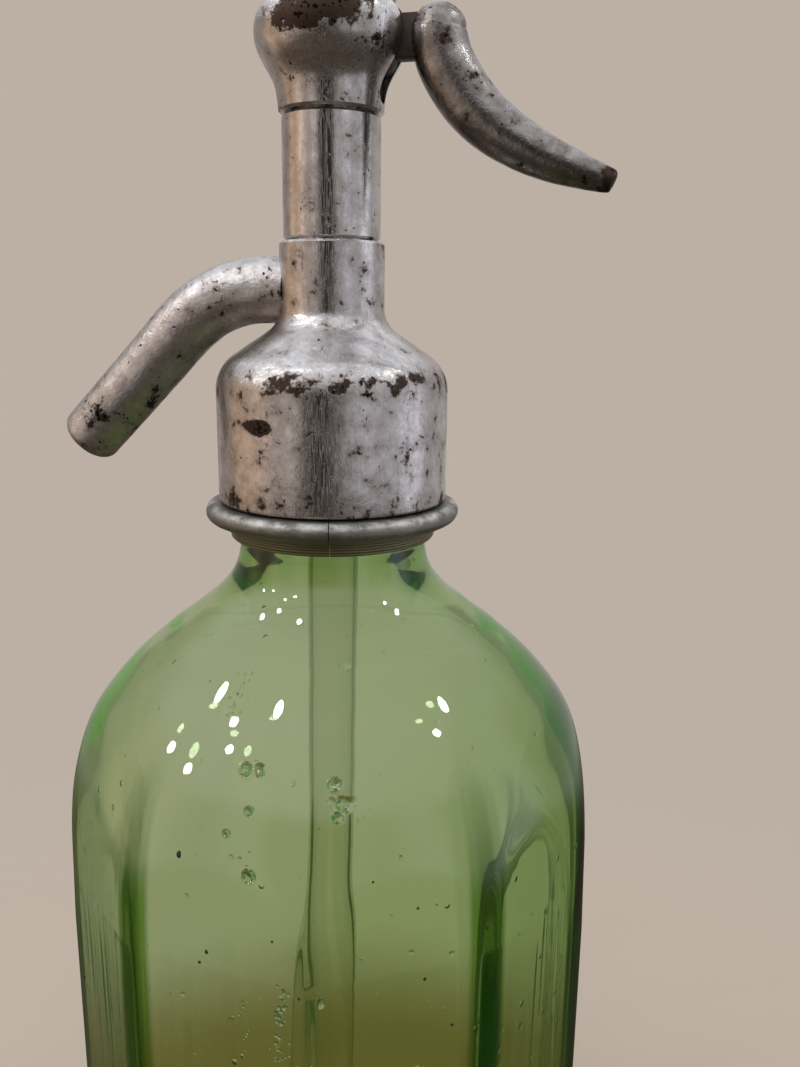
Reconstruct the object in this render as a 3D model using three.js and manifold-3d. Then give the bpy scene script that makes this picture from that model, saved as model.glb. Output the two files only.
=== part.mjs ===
// Soda siphon: a ten-sided pressed glass bottle closed by a plated metal head. Pressing the horn
// lever lifts a spring-loaded valve rod, and the gas in the bottle drives the water up the dip tube
// and out of the spout. Millimetres, +Z up. The origin is the centre of the flat base, +X points to
// the lever and -X to the spout.
import * as THREE from 'three';
import { mergeVertices } from 'three/addons/utils/BufferGeometryUtils.js';
import Module from 'manifold-3d';

const wasm = await Module();
wasm.setup();

// Shared gaps.
const seat_gap = 0.3;
const overrun = 4;

// Glass bottle.
const body_radius = 51.6;
const facet_count = 10;
const ridge_angle = THREE.MathUtils.degToRad(-7);
const body_wall = 4.7;
const base_thickness = 9;
const base_rise = 5;
const heel_height = 9;
const facet_foot = 10;
const shoulder_start = 141;
const facet_fade_low = 135;
const facet_fade_high = 168;
const collar_height = 203;
const neck_radius = 17.3;
const waist_depth = 1.1;
const lip_radius = 18.3;
const lip_height = 6.2;
const mouth_radius = 10.5;

// Glass dip tube.
const tube_radius = 4.7;
const tube_bore = 3;
const tube_flange_width = 2.4;
const tube_flange_height = 1.2;
const tube_foot_gap = 6;

// Split collar that grips the glass.
const collar_edge_wall = 1.55;
const cone_height = 3.2;
const cone_flare = 1.5;
const cone_step = 0.4;
const bead_radius = 1.7;
const bead_reach = 2.5;
const band_height = 9.6;
const split_angle = THREE.MathUtils.degToRad(-74);

// Head body: bell, shoulder and neck in one casting.
const lip_room = 0.7;
const bell_wall = 2.2;
const bell_roof_rise = 1.2;
const bell_shoulder_radius = 7.6;
const bell_shoulder_slope = THREE.MathUtils.degToRad(34);
const neck_fillet = 5;
const head_neck_radius = 9.45;
const neck_chamfer = 0.35;
const passage_radius = 3;
const chamber_radius = 6.8;
const chamber_floor_drop = 7.4;
const spout_rise = 19;
const head_neck_rise = 27.2;

// Rubber washers and seals.
const washer_height = 2.5;
const gasket_height = 1.6;
const cap_washer_height = 0.6;
const packing_height = 3;

// Spout.
const spout_root_radius = 6.1;
const spout_tip_radius = 5.75;
const spout_bore = 3.5;
const spout_spigot_wall = 1.2;
const spout_bend_start = 12.2;
const spout_bend_radius = 24;
const spout_bend_angle = THREE.MathUtils.degToRad(45);
const spout_straight = 31.6;
const spout_edge = 2.2;

// Valve barrel, a turned sleeve between the neck and the lever housing.
const barrel_radius = 8.66;
const barrel_height = 20.5;
const barrel_bore = 5.8;
const thread_wall = 1.1;
const thread_length = 3.8;
const barrel_floor = 1.8;

// Valve pieces on and around the rod.
const rod_radius = 2;
const seat_height = 1.4;
const seat_lip_height = 0.8;
const seat_lip_width = 0.8;
const disc_radius = 4.5;
const disc_height = 2;
const holder_wall = 0.7;
const holder_roof = 2.4;
const screw_radius = 0.9;
const screw_head_radius = 2.1;
const screw_head_height = 0.9;
const gland_height = 3.4;
const spring_collar_height = 1.2;
const spring_wire_radius = 0.5;
const spring_turns = 5;
const spring_room = 0.7;

// Lever housing, the bulb at the top of the head.
const bulb_foot_radius = 9.15;
const bulb_radius = 13.1;
const bulb_height = 16.8;
const bulb_cavity_radius = 5.6;
const bulb_floor = 1.9;
const slot_width = 4;
const slot_foot = 1.5;
const cap_thread_radius = 8.3;
const cap_thread_length = 3.2;

// Top cap.
const cap_radius = 11.15;
const cap_band_height = 4.2;
const cap_dome_height = 3.6;
const cap_wall = 2.1;
const coin_slot_width = 1.6;
const coin_slot_depth = 1.1;

// Lever: a steel arm cast into a horn-shaped handle, on a pin across the housing's slot.
const pivot_inset = 4.7;
const pivot_rise = 8.8;
const pin_radius = 1.25;
const hub_radius = 3.1;
const finger_radius = 1.5;
const finger_bar_half = 0.9;
const tongue_height = 6.8;
const tongue_drop = 0.6;
const tongue_grip = 1.5;
const horn_gap = 5.7;
const horn_run = 29.8;
const horn_fall = 27.5;
const horn_root_height = 9.4;
const horn_root_width = 9.2;

// Yoke on top of the rod, which the lever's finger lifts.
const yoke_half_thickness = 1.5;
const yoke_wall = 1.6;
const yoke_hub_height = 3.2;
const yoke_hub_wall = 1.2;

// Facets of the round forms.
const body_segments = 4 * facet_count;
const head_segments = 36;
const small_segments = 24;
const arc_steps = 4;

// Heights and radii worked out from the sizes above.
const collar_foot_z = collar_height;
const bead_z = collar_foot_z + cone_height + bead_radius;
const bead_top_z = bead_z + bead_radius;
const collar_top_z = bead_top_z + band_height;
const lip_foot_z = collar_top_z + seat_gap;
const mouth_z = lip_foot_z + lip_height;
const ceiling_z = mouth_z + seat_gap + washer_height + seat_gap;
const waist_radius = neck_radius - waist_depth;
const bell_bore = lip_radius + lip_room;
const bell_radius = bell_bore + bell_wall;
const skirt_z = bead_top_z + seat_gap;
const spout_z = ceiling_z + spout_rise;
const chamber_floor_z = spout_z - chamber_floor_drop;
const barrel_z = ceiling_z + head_neck_rise + seat_gap;
const neck_top_z = barrel_z - seat_gap;
const thread_radius = barrel_bore + thread_wall;
const barrel_top_z = barrel_z + barrel_height;
const housing_z = barrel_top_z + seat_gap;
const housing_spigot_z = housing_z - thread_length;
const cavity_floor_z = housing_z + bulb_floor;
const housing_top_z = housing_z + bulb_height;
const cap_z = housing_top_z + seat_gap + cap_washer_height + seat_gap;
const pivot_z = housing_z + pivot_rise;
const pivot_reach = bulb_radius - pivot_inset;
const horn_root_reach = bulb_radius + horn_gap;
const tongue_reach = horn_root_reach + tongue_grip;
const flange_radius = tube_radius + tube_flange_width;
const rod_hole = rod_radius + seat_gap;
const inner_body_radius = body_radius * Math.cos(Math.PI / facet_count) - body_wall;
const inner_floor_z = base_thickness + base_rise;

// Finishes, one material for each kind of surface.
const finishes = {
  nickel: { color: 0x9c9894, roughness: 0.32, metalness: 1 },
  pewter: { color: 0x6f6e68, roughness: 0.48, metalness: 1 },
  steel: { color: 0x4a4541, roughness: 0.55, metalness: 1 },
  brass: { color: 0xb08d4a, roughness: 0.4, metalness: 1 },
  rubber: { color: 0x2b2927, roughness: 0.85, metalness: 0 },
  fibre: { color: 0x6b3a2a, roughness: 0.8, metalness: 0 },
  green_glass: { color: 0x87a064, roughness: 0.05, metalness: 0, transparent: true, opacity: 0.45 },
  clear_glass: { color: 0xb8c8a0, roughness: 0.05, metalness: 0, transparent: true, opacity: 0.4 },
};

// A closed geometry with merged corners, no slivers and faces that point out.
function closed(geometry) {
  const plain = geometry.clone();
  plain.deleteAttribute('normal');
  if (plain.getAttribute('uv')) plain.deleteAttribute('uv');
  plain.clearGroups();
  const merged = mergeVertices(plain);
  const place = merged.getAttribute('position');
  const index = merged.getIndex().array;
  const faces = [];
  const a = new THREE.Vector3();
  const b = new THREE.Vector3();
  const c = new THREE.Vector3();
  let volume = 0;
  for (let i = 0; i < index.length; i += 3) {
    const [p, q, r] = [index[i], index[i + 1], index[i + 2]];
    if (p === q || q === r || r === p) continue;
    faces.push([p, q, r]);
    a.fromBufferAttribute(place, p);
    b.fromBufferAttribute(place, q);
    c.fromBufferAttribute(place, r);
    volume += a.dot(b.cross(c));
  }
  const outward = faces.map(([p, q, r]) => (volume < 0 ? [p, r, q] : [p, q, r]));
  merged.setIndex(outward.flat());
  return merged;
}

function solid(geometry) {
  const shell = closed(geometry);
  return new wasm.Manifold(new wasm.Mesh({
    numProp: 3,
    vertProperties: new Float32Array(shell.getAttribute('position').array),
    triVerts: new Uint32Array(shell.getIndex().array),
  }));
}

function surface(manifold) {
  const mesh = manifold.getMesh();
  const geometry = new THREE.BufferGeometry();
  geometry.setAttribute('position', new THREE.BufferAttribute(mesh.vertProperties, 3));
  geometry.setIndex(new THREE.BufferAttribute(mesh.triVerts, 1));
  return geometry;
}

// A solid of revolution about Z from an outline of [radius, height] points that closes on itself.
function revolve(outline, segments, start = 0) {
  const points = outline.map(([radius, height]) => new THREE.Vector2(radius, height));
  if (points[0].x > 0 || points[points.length - 1].x > 0) points.push(points[0].clone());
  const geometry = new THREE.LatheGeometry(points, segments, start);
  geometry.rotateX(Math.PI / 2);
  return geometry;
}

function ring(inner, outer, low, high, segments = small_segments) {
  return revolve([[inner, low], [outer, low], [outer, high], [inner, high]], segments);
}

function rod(radius, low, high, segments = small_segments) {
  return revolve([[0, low], [radius, low], [radius, high], [0, high]], segments);
}

// A cylinder along Y through the point (x, z).
function crossRod(radius, half, x, z, segments = small_segments) {
  const geometry = new THREE.CylinderGeometry(radius, radius, 2 * half, segments);
  geometry.translate(x, 0, z);
  return geometry;
}

function block(low, high) {
  const size = low.map((value, axis) => high[axis] - value);
  const geometry = new THREE.BoxGeometry(...size);
  geometry.translate(...low.map((value, axis) => value + size[axis] / 2));
  return geometry;
}

// Points of an arc of [radius, height] about a centre, its angles measured from outward to up.
function arc(centre, radius, from, to, steps = arc_steps) {
  const points = [];
  for (let i = 0; i <= steps; i += 1) {
    const angle = from + ((to - from) * i) / steps;
    points.push([centre[0] + radius * Math.cos(angle), centre[1] + radius * Math.sin(angle)]);
  }
  return points;
}

// Places a table of [height share, radius share] between a low and a high point.
function follow(shares, low, high) {
  return shares.map(([rise, out]) => [
    high[0] + (low[0] - high[0]) * out,
    low[1] + (high[1] - low[1]) * rise,
  ]);
}

// A closed skin over rings of points that all have the same number of points.
function loft(rings) {
  const sides = rings[0].length;
  const corners = rings.flat();
  const first = rings[0].reduce((sum, p) => sum.add(p), new THREE.Vector3()).divideScalar(sides);
  const last = rings.at(-1).reduce((sum, p) => sum.add(p), new THREE.Vector3()).divideScalar(sides);
  const positions = [...corners, first, last].flatMap((p) => [p.x, p.y, p.z]);
  const faces = [];
  for (let i = 0; i < rings.length - 1; i += 1) {
    for (let j = 0; j < sides; j += 1) {
      const next = (j + 1) % sides;
      const [a, b] = [i * sides + j, i * sides + next];
      faces.push(a, b, b + sides, a, b + sides, a + sides);
    }
  }
  const top = (rings.length - 1) * sides;
  for (let j = 0; j < sides; j += 1) {
    const next = (j + 1) % sides;
    faces.push(corners.length, next, j);
    faces.push(corners.length + 1, top + j, top + next);
  }
  const geometry = new THREE.BufferGeometry();
  geometry.setAttribute('position', new THREE.Float32BufferAttribute(positions, 3));
  geometry.setIndex(faces);
  return geometry;
}

// An ellipse of points in the plane that crosses the XZ path at a point.
function section(x, z, heading, half_height, half_width, sides = small_segments) {
  const points = [];
  for (let i = 0; i < sides; i += 1) {
    const angle = (2 * Math.PI * i) / sides;
    const up = half_height * Math.sin(angle);
    points.push(new THREE.Vector3(
      x - up * Math.sin(heading),
      half_width * Math.cos(angle),
      z + up * Math.cos(heading),
    ));
  }
  return points;
}

const part = new THREE.Group();
part.name = 'soda_siphon';

function add(name, shape, finish, group = part) {
  const geometry = shape instanceof THREE.BufferGeometry ? closed(shape) : surface(shape);
  geometry.computeVertexNormals();
  const mesh = new THREE.Mesh(geometry, new THREE.MeshStandardMaterial(finishes[finish]));
  mesh.name = name;
  group.add(mesh);
  return mesh;
}

// The bottle: a round inside, and an outside pressed flat into panels that fade into the shoulder.
const shoulder_shares = [
  [0, 1], [0.13, 0.985], [0.26, 0.952], [0.37, 0.9], [0.45, 0.84], [0.52, 0.752], [0.6, 0.625],
  [0.68, 0.465], [0.76, 0.29], [0.82, 0.158], [0.88, 0.062], [0.935, 0.018], [1, 0],
];
const heel_shares = [[0, 0.84], [0.08, 0.9], [0.3, 0.96], [0.6, 0.988], [1, 1]];
const floor_shares = [[0, 1], [0.45, 0.97], [0.8, 0.88], [1, 0.7], [0.86, 0.35], [0.8, 0]];

function bottle() {
  const heel = heel_shares.map(([rise, out]) => [body_radius * out, heel_height * rise]);
  const outside = [
    ...heel,
    [body_radius, facet_fade_low - (shoulder_start - facet_fade_low)],
    ...follow(shoulder_shares, [body_radius, shoulder_start], [neck_radius, collar_foot_z]),
    [waist_radius, bead_z],
    [waist_radius, lip_foot_z],
    [lip_radius, lip_foot_z + waist_depth],
    [lip_radius, mouth_z - waist_depth],
    [lip_radius - waist_depth, mouth_z],
  ];
  const inner_foot_z = base_thickness + body_wall * 2;
  const floor = floor_shares.map(([drop, out]) => [
    inner_body_radius * out,
    inner_foot_z - (inner_foot_z - base_thickness) * drop,
  ]);
  floor[floor.length - 1][1] = inner_floor_z;
  floor[floor.length - 2][1] = (inner_floor_z + base_thickness) / 2;
  const inside = [
    [mouth_radius, mouth_z],
    ...follow(shoulder_shares, [inner_body_radius, shoulder_start], [mouth_radius, collar_foot_z])
      .reverse(),
    ...floor,
  ];
  const outline = [[0, 0], ...outside, ...inside];
  const geometry = revolve(outline, body_segments, ridge_angle + Math.PI / 2);
  const place = geometry.getAttribute('position');
  const half_facet = Math.PI / facet_count;
  const last_outside = outside.length;
  for (let i = 0; i < place.count; i += 1) {
    const row = i % outline.length;
    if (row === 0 || row > last_outside) continue;
    const [x, y, z] = [place.getX(i), place.getY(i), place.getZ(i)];
    const turn = Math.atan2(y, x) - ridge_angle;
    const phase = turn - 2 * half_facet * Math.floor(turn / (2 * half_facet)) - half_facet;
    const flat = Math.cos(half_facet) / Math.cos(phase);
    const foot = THREE.MathUtils.smoothstep(z, 0, facet_foot);
    const fade = 1 - THREE.MathUtils.smoothstep(z, facet_fade_low, facet_fade_high);
    const scale = 1 + (flat - 1) * foot * fade;
    place.setXY(i, x * scale, y * scale);
  }
  return geometry;
}
add('bottle', bottle(), 'green_glass');

// The washer lies on the mouth and holds the dip tube by its flange, which a gasket presses down.
const washer_z = mouth_z + seat_gap;
const washer_recess = flange_radius + seat_gap;
const washer_shelf_z = ceiling_z - seat_gap - tube_flange_height - seat_gap;
const washer_radius = lip_radius - waist_depth;
add('mouth_washer', revolve([
  [tube_radius + seat_gap, washer_z],
  [washer_radius, washer_z],
  [washer_radius, washer_z + washer_height],
  [washer_recess, washer_z + washer_height],
  [washer_recess, washer_shelf_z],
  [tube_radius + seat_gap, washer_shelf_z],
], head_segments), 'rubber');

const flange_z = washer_shelf_z + seat_gap;
const gasket_z = flange_z + tube_flange_height + seat_gap;
add('dip_tube', revolve([
  [tube_bore, inner_floor_z + tube_foot_gap],
  [tube_radius, inner_floor_z + tube_foot_gap],
  [tube_radius, flange_z],
  [flange_radius, flange_z],
  [flange_radius, flange_z + tube_flange_height],
  [tube_bore, flange_z + tube_flange_height],
], small_segments), 'clear_glass');
add('tube_gasket', ring(tube_bore, flange_radius, gasket_z, gasket_z + gasket_height), 'rubber');

// The collar: a threaded band inside the bell, an outer bead and a cone, split into two halves.
const collar_bore = neck_radius + seat_gap;
const band_bore = waist_radius + seat_gap;
const band_radius = bell_bore - seat_gap;
const cone_foot_radius = collar_bore + collar_edge_wall;
const cone_top_radius = cone_foot_radius + cone_flare;
const bead_centre_radius = bell_radius + bead_reach - bead_radius;
const collar_ring = revolve([
  [collar_bore, collar_foot_z],
  [cone_foot_radius, collar_foot_z],
  [cone_top_radius, collar_foot_z + cone_height - cone_step],
  [cone_top_radius + cone_step, bead_z - bead_radius],
  ...arc([bead_centre_radius, bead_z], bead_radius, -Math.PI / 2, Math.PI / 2, 2 * arc_steps),
  [band_radius, bead_top_z],
  [band_radius, collar_top_z],
  [band_bore, collar_top_z],
  [band_bore, bead_z + seat_gap],
], head_segments);
const collar_reach = bell_radius + bead_reach + overrun;
for (const [name, side] of [['collar_half_front', 0], ['collar_half_back', Math.PI]]) {
  const half = block(
    [-collar_reach, seat_gap / 2, collar_foot_z - overrun],
    [collar_reach, collar_reach, collar_top_z + overrun],
  );
  half.rotateZ(split_angle + side);
  add(name, solid(collar_ring).intersect(solid(half)), 'pewter');
}

// The outside of the head body from its skirt to its neck, grown outwards by a gap.
function bellOutline(grow, low, high) {
  const shoulder_z = ceiling_z + bell_roof_rise;
  const slope = bell_shoulder_slope;
  const normal = [Math.sin(slope), Math.cos(slope)];
  const centre = [bell_radius - bell_shoulder_radius, shoulder_z];
  const foot = [
    centre[0] + bell_shoulder_radius * normal[0],
    centre[1] + bell_shoulder_radius * normal[1],
  ];
  const fillet_r = head_neck_radius + neck_fillet;
  const fillet_z = foot[1] + (neck_fillet - (fillet_r - foot[0]) * normal[0]) / normal[1];
  return [
    [bell_radius + grow, low],
    ...arc(centre, bell_shoulder_radius + grow, 0, Math.PI / 2 - slope),
    ...arc([fillet_r, fillet_z], neck_fillet - grow, 1.5 * Math.PI - slope, Math.PI),
    [head_neck_radius + grow, high],
  ];
}

const gasket_room_radius = flange_radius + seat_gap;
const gasket_roof_z = gasket_z + gasket_height + seat_gap;
const socket_floor_z = barrel_z - thread_length - seat_gap;
const socket_radius = thread_radius + seat_gap;
const spigot_radius = spout_bore + spout_spigot_wall;
const head_outline = [
  ...bellOutline(0, skirt_z, neck_top_z - neck_chamfer),
  [head_neck_radius - neck_chamfer, neck_top_z],
  [socket_radius, neck_top_z],
  [socket_radius, socket_floor_z],
  [chamber_radius, socket_floor_z],
  [chamber_radius, chamber_floor_z],
  [passage_radius, chamber_floor_z],
  [passage_radius, gasket_roof_z],
  [gasket_room_radius, gasket_roof_z],
  [gasket_room_radius, ceiling_z],
  [bell_bore, ceiling_z],
  [bell_bore, skirt_z],
];
function alongX(radius, from, to, z) {
  const geometry = new THREE.CylinderGeometry(radius, radius, to - from, small_segments);
  geometry.rotateZ(Math.PI / 2);
  geometry.translate((from + to) / 2, 0, z);
  return geometry;
}
add('head_body', solid(revolve(head_outline, head_segments)).subtract(
  solid(alongX(spigot_radius + seat_gap, -head_neck_radius - overrun, 0, spout_z)),
), 'nickel');

// The spout leaves the neck level, bends down and runs straight to a rounded tip.
const bend_length = spout_bend_radius * spout_bend_angle;
const spout_length = spout_bend_start + bend_length + spout_straight;
function spoutPoint(distance) {
  const turned = Math.min(Math.max(distance - spout_bend_start, 0), bend_length);
  const angle = turned / spout_bend_radius;
  const after = Math.max(distance - spout_bend_start - bend_length, 0);
  const before = Math.min(distance, spout_bend_start);
  return {
    x: -(before + spout_bend_radius * Math.sin(angle) + after * Math.cos(angle)),
    z: spout_z - spout_bend_radius * (1 - Math.cos(angle)) - after * Math.sin(angle),
    heading: Math.PI + angle,
  };
}
function spoutRings(distances, radiusAt) {
  return distances.map((distance) => {
    const { x, z, heading } = spoutPoint(distance);
    const radius = radiusAt(distance);
    return section(x, z, heading, radius, radius);
  });
}
const spout_path = [0, spout_bend_start];
for (let i = 1; i <= 2 * arc_steps; i += 1) {
  spout_path.push(spout_bend_start + (bend_length * i) / (2 * arc_steps));
}
const spout_round_path = [...spout_path];
for (let i = 0; i <= arc_steps; i += 1) {
  const angle = (Math.PI / 2) * (i / arc_steps);
  spout_round_path.push(spout_length - spout_edge * (1 - Math.sin(angle)));
}
const spout_skin = loft(spoutRings(spout_round_path, (distance) => {
  const share = distance / spout_length;
  const radius = spout_root_radius + (spout_tip_radius - spout_root_radius) * share;
  const into_edge = Math.max(distance - (spout_length - spout_edge), 0);
  return radius - spout_edge + Math.sqrt(Math.max(spout_edge ** 2 - into_edge ** 2, 0));
}));
const spout_bore_path = [...spout_path, spout_length + overrun];
const spout_hole = loft(spoutRings(spout_bore_path, () => spout_bore));
const head_cover = revolve(
  [[0, skirt_z], ...bellOutline(seat_gap, skirt_z, barrel_z + overrun), [0, barrel_z + overrun]],
  head_segments,
);
const spout_spigot = alongX(
  spigot_radius, -head_neck_radius - spout_edge, -chamber_radius - seat_gap, spout_z,
);
add('spout', solid(spout_skin)
  .subtract(solid(head_cover))
  .add(solid(spout_spigot))
  .subtract(solid(spout_hole))
  .subtract(solid(alongX(spout_bore, -head_neck_radius - overrun, 0, spout_z))), 'nickel');

// The valve: a seat in the chamber floor and a rubber disc that the rod carries.
const seat_z = chamber_floor_z + seat_gap;
const seat_top_z = seat_z + seat_height + seat_lip_height;
const seat_radius = chamber_radius - seat_gap;
add('valve_seat', revolve([
  [passage_radius, seat_z],
  [seat_radius, seat_z],
  [seat_radius, seat_z + seat_height],
  [passage_radius + 2 * seat_lip_width, seat_z + seat_height],
  [passage_radius + seat_lip_width, seat_top_z],
  [passage_radius, seat_top_z],
], small_segments), 'brass');

// The barrel screws into the neck and takes the gland, the packing and the spring.
const barrel_foot_z = barrel_z - thread_length;
const gland_room_z = barrel_foot_z + barrel_floor;
const barrel_socket_z = housing_spigot_z - seat_gap;
add('valve_barrel', revolve([
  [rod_hole, barrel_foot_z],
  [thread_radius, barrel_foot_z],
  [thread_radius, barrel_z],
  [barrel_radius - neck_chamfer, barrel_z],
  [barrel_radius, barrel_z + neck_chamfer],
  [barrel_radius, barrel_top_z - neck_chamfer],
  [barrel_radius - neck_chamfer, barrel_top_z],
  [thread_radius + seat_gap, barrel_top_z],
  [thread_radius + seat_gap, barrel_socket_z],
  [barrel_bore, barrel_socket_z],
  [barrel_bore, gland_room_z],
  [rod_hole, gland_room_z],
], head_segments), 'nickel');

const gland_radius = barrel_bore - seat_gap;
const packing_z = gland_room_z + seat_gap;
const gland_z = packing_z + packing_height + seat_gap;
const gland_top_z = gland_z + gland_height;
add('gland_packing', ring(rod_hole, gland_radius, packing_z, packing_z + packing_height), 'rubber');
add('gland_nut', ring(rod_hole, gland_radius, gland_z, gland_top_z), 'brass');

// The lever housing: a hollow bulb with a spigot below, a slot for the lever and holes for its pin.
const bulb_shares = [
  [0, 1], [0.16, 0.95], [0.27, 0.83], [0.37, 0.62], [0.5, 0.29], [0.63, 0.06], [0.76, 0],
  [0.87, 0.08], [0.95, 0.25], [1, 0.42],
];
const cap_socket_z = housing_top_z - cap_thread_length - seat_gap;
const housing_shell = solid(revolve([
  [rod_hole, housing_spigot_z],
  [thread_radius, housing_spigot_z],
  [thread_radius, housing_z],
  ...bulb_shares.map(([rise, inset]) => [
    bulb_radius - (bulb_radius - bulb_foot_radius) * inset,
    housing_z + bulb_height * rise,
  ]),
  [cap_thread_radius + seat_gap, housing_top_z],
  [cap_thread_radius + seat_gap, cap_socket_z],
  [bulb_cavity_radius, cap_socket_z],
  [bulb_cavity_radius, cavity_floor_z],
  [rod_hole, cavity_floor_z],
], head_segments));
const slot_z = housing_z + slot_foot + slot_width / 2;
const slot = solid(block(
  [0, -slot_width / 2, slot_z],
  [bulb_radius + overrun, slot_width / 2, housing_top_z + overrun],
)).add(solid(alongX(slot_width / 2, 0, bulb_radius + overrun, slot_z)));
const slot_clear_of_floor = solid(block(
  [0, -bulb_radius, cavity_floor_z],
  [bulb_radius + overrun, bulb_radius, housing_top_z + overrun],
));
add('lever_housing', housing_shell
  .subtract(slot.intersect(slot_clear_of_floor))
  .subtract(solid(crossRod(pin_radius + seat_gap, bulb_radius, pivot_reach, pivot_z))), 'nickel');

// The pin lies across the slot, filed flush with the bulb.
const pin_rise_share = pivot_rise / bulb_height;
function bulbRadiusAt(share) {
  const next = bulb_shares.findIndex(([rise]) => rise >= share);
  const [[low, low_inset], [high, high_inset]] = [bulb_shares[next - 1], bulb_shares[next]];
  const inset = low_inset + ((high_inset - low_inset) * (share - low)) / (high - low);
  return bulb_radius - (bulb_radius - bulb_foot_radius) * inset;
}
const pin_end_reach = pivot_reach + pin_radius;
const pin_half = Math.sqrt(Math.max(
  bulbRadiusAt(pin_rise_share) ** 2 - pin_end_reach ** 2,
  (slot_width / 2) ** 2,
));
add('lever_pin', crossRod(pin_radius, pin_half, pivot_reach, pivot_z), 'steel');

// The cap screws into the bulb over a thin washer. A coin slot crosses its low dome.
const cap_thread_bore = cap_thread_radius - cap_wall;
const cap_dome_z = cap_z + cap_band_height;
const dome_radius = (cap_radius ** 2 + cap_dome_height ** 2) / (2 * cap_dome_height);
const dome_angle = Math.asin(cap_radius / dome_radius);
add('cap_washer', ring(
  cap_thread_radius + seat_gap,
  cap_radius - seat_gap,
  housing_top_z + seat_gap,
  housing_top_z + seat_gap + cap_washer_height,
  head_segments,
), 'fibre');
const cap_shell = solid(revolve([
  [0, cap_z + cap_band_height - cap_wall],
  [cap_thread_bore, cap_z + cap_band_height - cap_wall],
  [cap_thread_bore, housing_top_z - cap_thread_length],
  [cap_thread_radius, housing_top_z - cap_thread_length],
  [cap_thread_radius, cap_z],
  [cap_radius - neck_chamfer, cap_z],
  [cap_radius, cap_z + neck_chamfer],
  ...arc([0, cap_dome_z + cap_dome_height - dome_radius], dome_radius,
    Math.PI / 2 - dome_angle, Math.PI / 2, 2 * arc_steps).slice(0, -1),
  [0, cap_dome_z + cap_dome_height],
], head_segments));
add('top_cap', cap_shell.subtract(solid(block(
  [-cap_radius - overrun, -coin_slot_width / 2, cap_dome_z + cap_dome_height - coin_slot_depth],
  [cap_radius + overrun, coin_slot_width / 2, cap_dome_z + cap_dome_height + overrun],
))), 'nickel');

// The lever turns about the pin. Its group sits on the pivot, so that it can be turned as one.
const lever = new THREE.Group();
lever.name = 'lever';
lever.position.set(pivot_reach, 0, pivot_z);
part.add(lever);

const arm_half = slot_width / 2 - seat_gap;
const tongue_low = -tongue_drop;
const tongue_high = tongue_height - tongue_drop;
const tongue_start = cap_thread_radius + 2 * seat_gap - pivot_reach;
const tongue_end = tongue_reach - pivot_reach;
const arm = solid(crossRod(finger_radius, arm_half, -pivot_reach, 0))
  .add(solid(block([-pivot_reach, -arm_half, -finger_bar_half], [0, arm_half, finger_bar_half])))
  .add(solid(crossRod(hub_radius, arm_half, 0, 0)))
  .add(solid(block([tongue_start, -arm_half, tongue_low], [tongue_end, arm_half, tongue_high])))
  .subtract(solid(crossRod(pin_radius + seat_gap, slot_width, 0, 0)));
add('lever_arm', arm, 'steel', lever);

// The horn: round sections along a falling curve, domed at the root and blunt at the tip. Each row
// holds the shares of the run, the fall, the root height and the root width.
const horn_shares = [
  [0.014, -0.178, 0.22, 0.22],
  [0.012, -0.16, 0.52, 0.54],
  [0.008, -0.125, 0.77, 0.79],
  [0.004, -0.07, 0.93, 0.94],
  [0, 0, 1, 1],
  [0.03, 0.13, 1.02, 1],
  [0.1, 0.265, 1.02, 0.98],
  [0.195, 0.4, 1, 0.95],
  [0.32, 0.52, 0.95, 0.9],
  [0.46, 0.62, 0.87, 0.82],
  [0.61, 0.705, 0.76, 0.74],
  [0.76, 0.77, 0.64, 0.65],
  [0.9, 0.822, 0.5, 0.55],
  [0.97, 0.845, 0.42, 0.5],
  [0.993, 0.853, 0.35, 0.42],
  [1, 0.856, 0.2, 0.24],
];
const horn_root_z = (tongue_low + tongue_high) / 2;
function hornRings() {
  const places = horn_shares.map(([run, fall]) => [
    horn_root_reach - pivot_reach + horn_run * run,
    horn_root_z - horn_fall * fall,
  ]);
  return horn_shares.map(([, , height, width], i) => {
    const [x0, z0] = places[Math.max(i - 1, 0)];
    const [x1, z1] = places[Math.min(i + 1, places.length - 1)];
    const heading = Math.atan2(z1 - z0, x1 - x0);
    return section(
      ...places[i], heading, (horn_root_height / 2) * height, (horn_root_width / 2) * width,
    );
  });
}
const pocket = block(
  [-pivot_reach, -arm_half - seat_gap, tongue_low - seat_gap],
  [tongue_end + seat_gap, arm_half + seat_gap, tongue_high + seat_gap],
);
add('lever_handle', solid(loft(hornRings())).subtract(solid(pocket)), 'nickel', lever);

// The rod and what it carries, which rise together when the lever is pressed.
const valve_rod = new THREE.Group();
valve_rod.name = 'valve_rod_assembly';
part.add(valve_rod);

const disc_z = seat_top_z + seat_gap;
const holder_roof_z = disc_z + disc_height + seat_gap;
const holder_radius = disc_radius + seat_gap + holder_wall;
const holder_top_z = holder_roof_z + holder_roof;
const disc_bore = screw_radius + seat_gap;
add('valve_disc', ring(disc_bore, disc_radius, disc_z, disc_z + disc_height), 'rubber', valve_rod);
const rod_foot_z = holder_top_z - holder_roof / 2;
add('disc_holder', revolve([
  [disc_bore, holder_roof_z],
  [disc_radius + seat_gap, holder_roof_z],
  [disc_radius + seat_gap, disc_z + disc_height / 2],
  [holder_radius, disc_z + disc_height / 2],
  [holder_radius, holder_top_z - holder_wall],
  [holder_radius - holder_wall, holder_top_z],
  [rod_hole, holder_top_z],
  [rod_hole, rod_foot_z - seat_gap],
  [disc_bore, rod_foot_z - seat_gap],
], small_segments), 'brass', valve_rod);
const screw_top_z = rod_foot_z - 2 * seat_gap;
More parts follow.
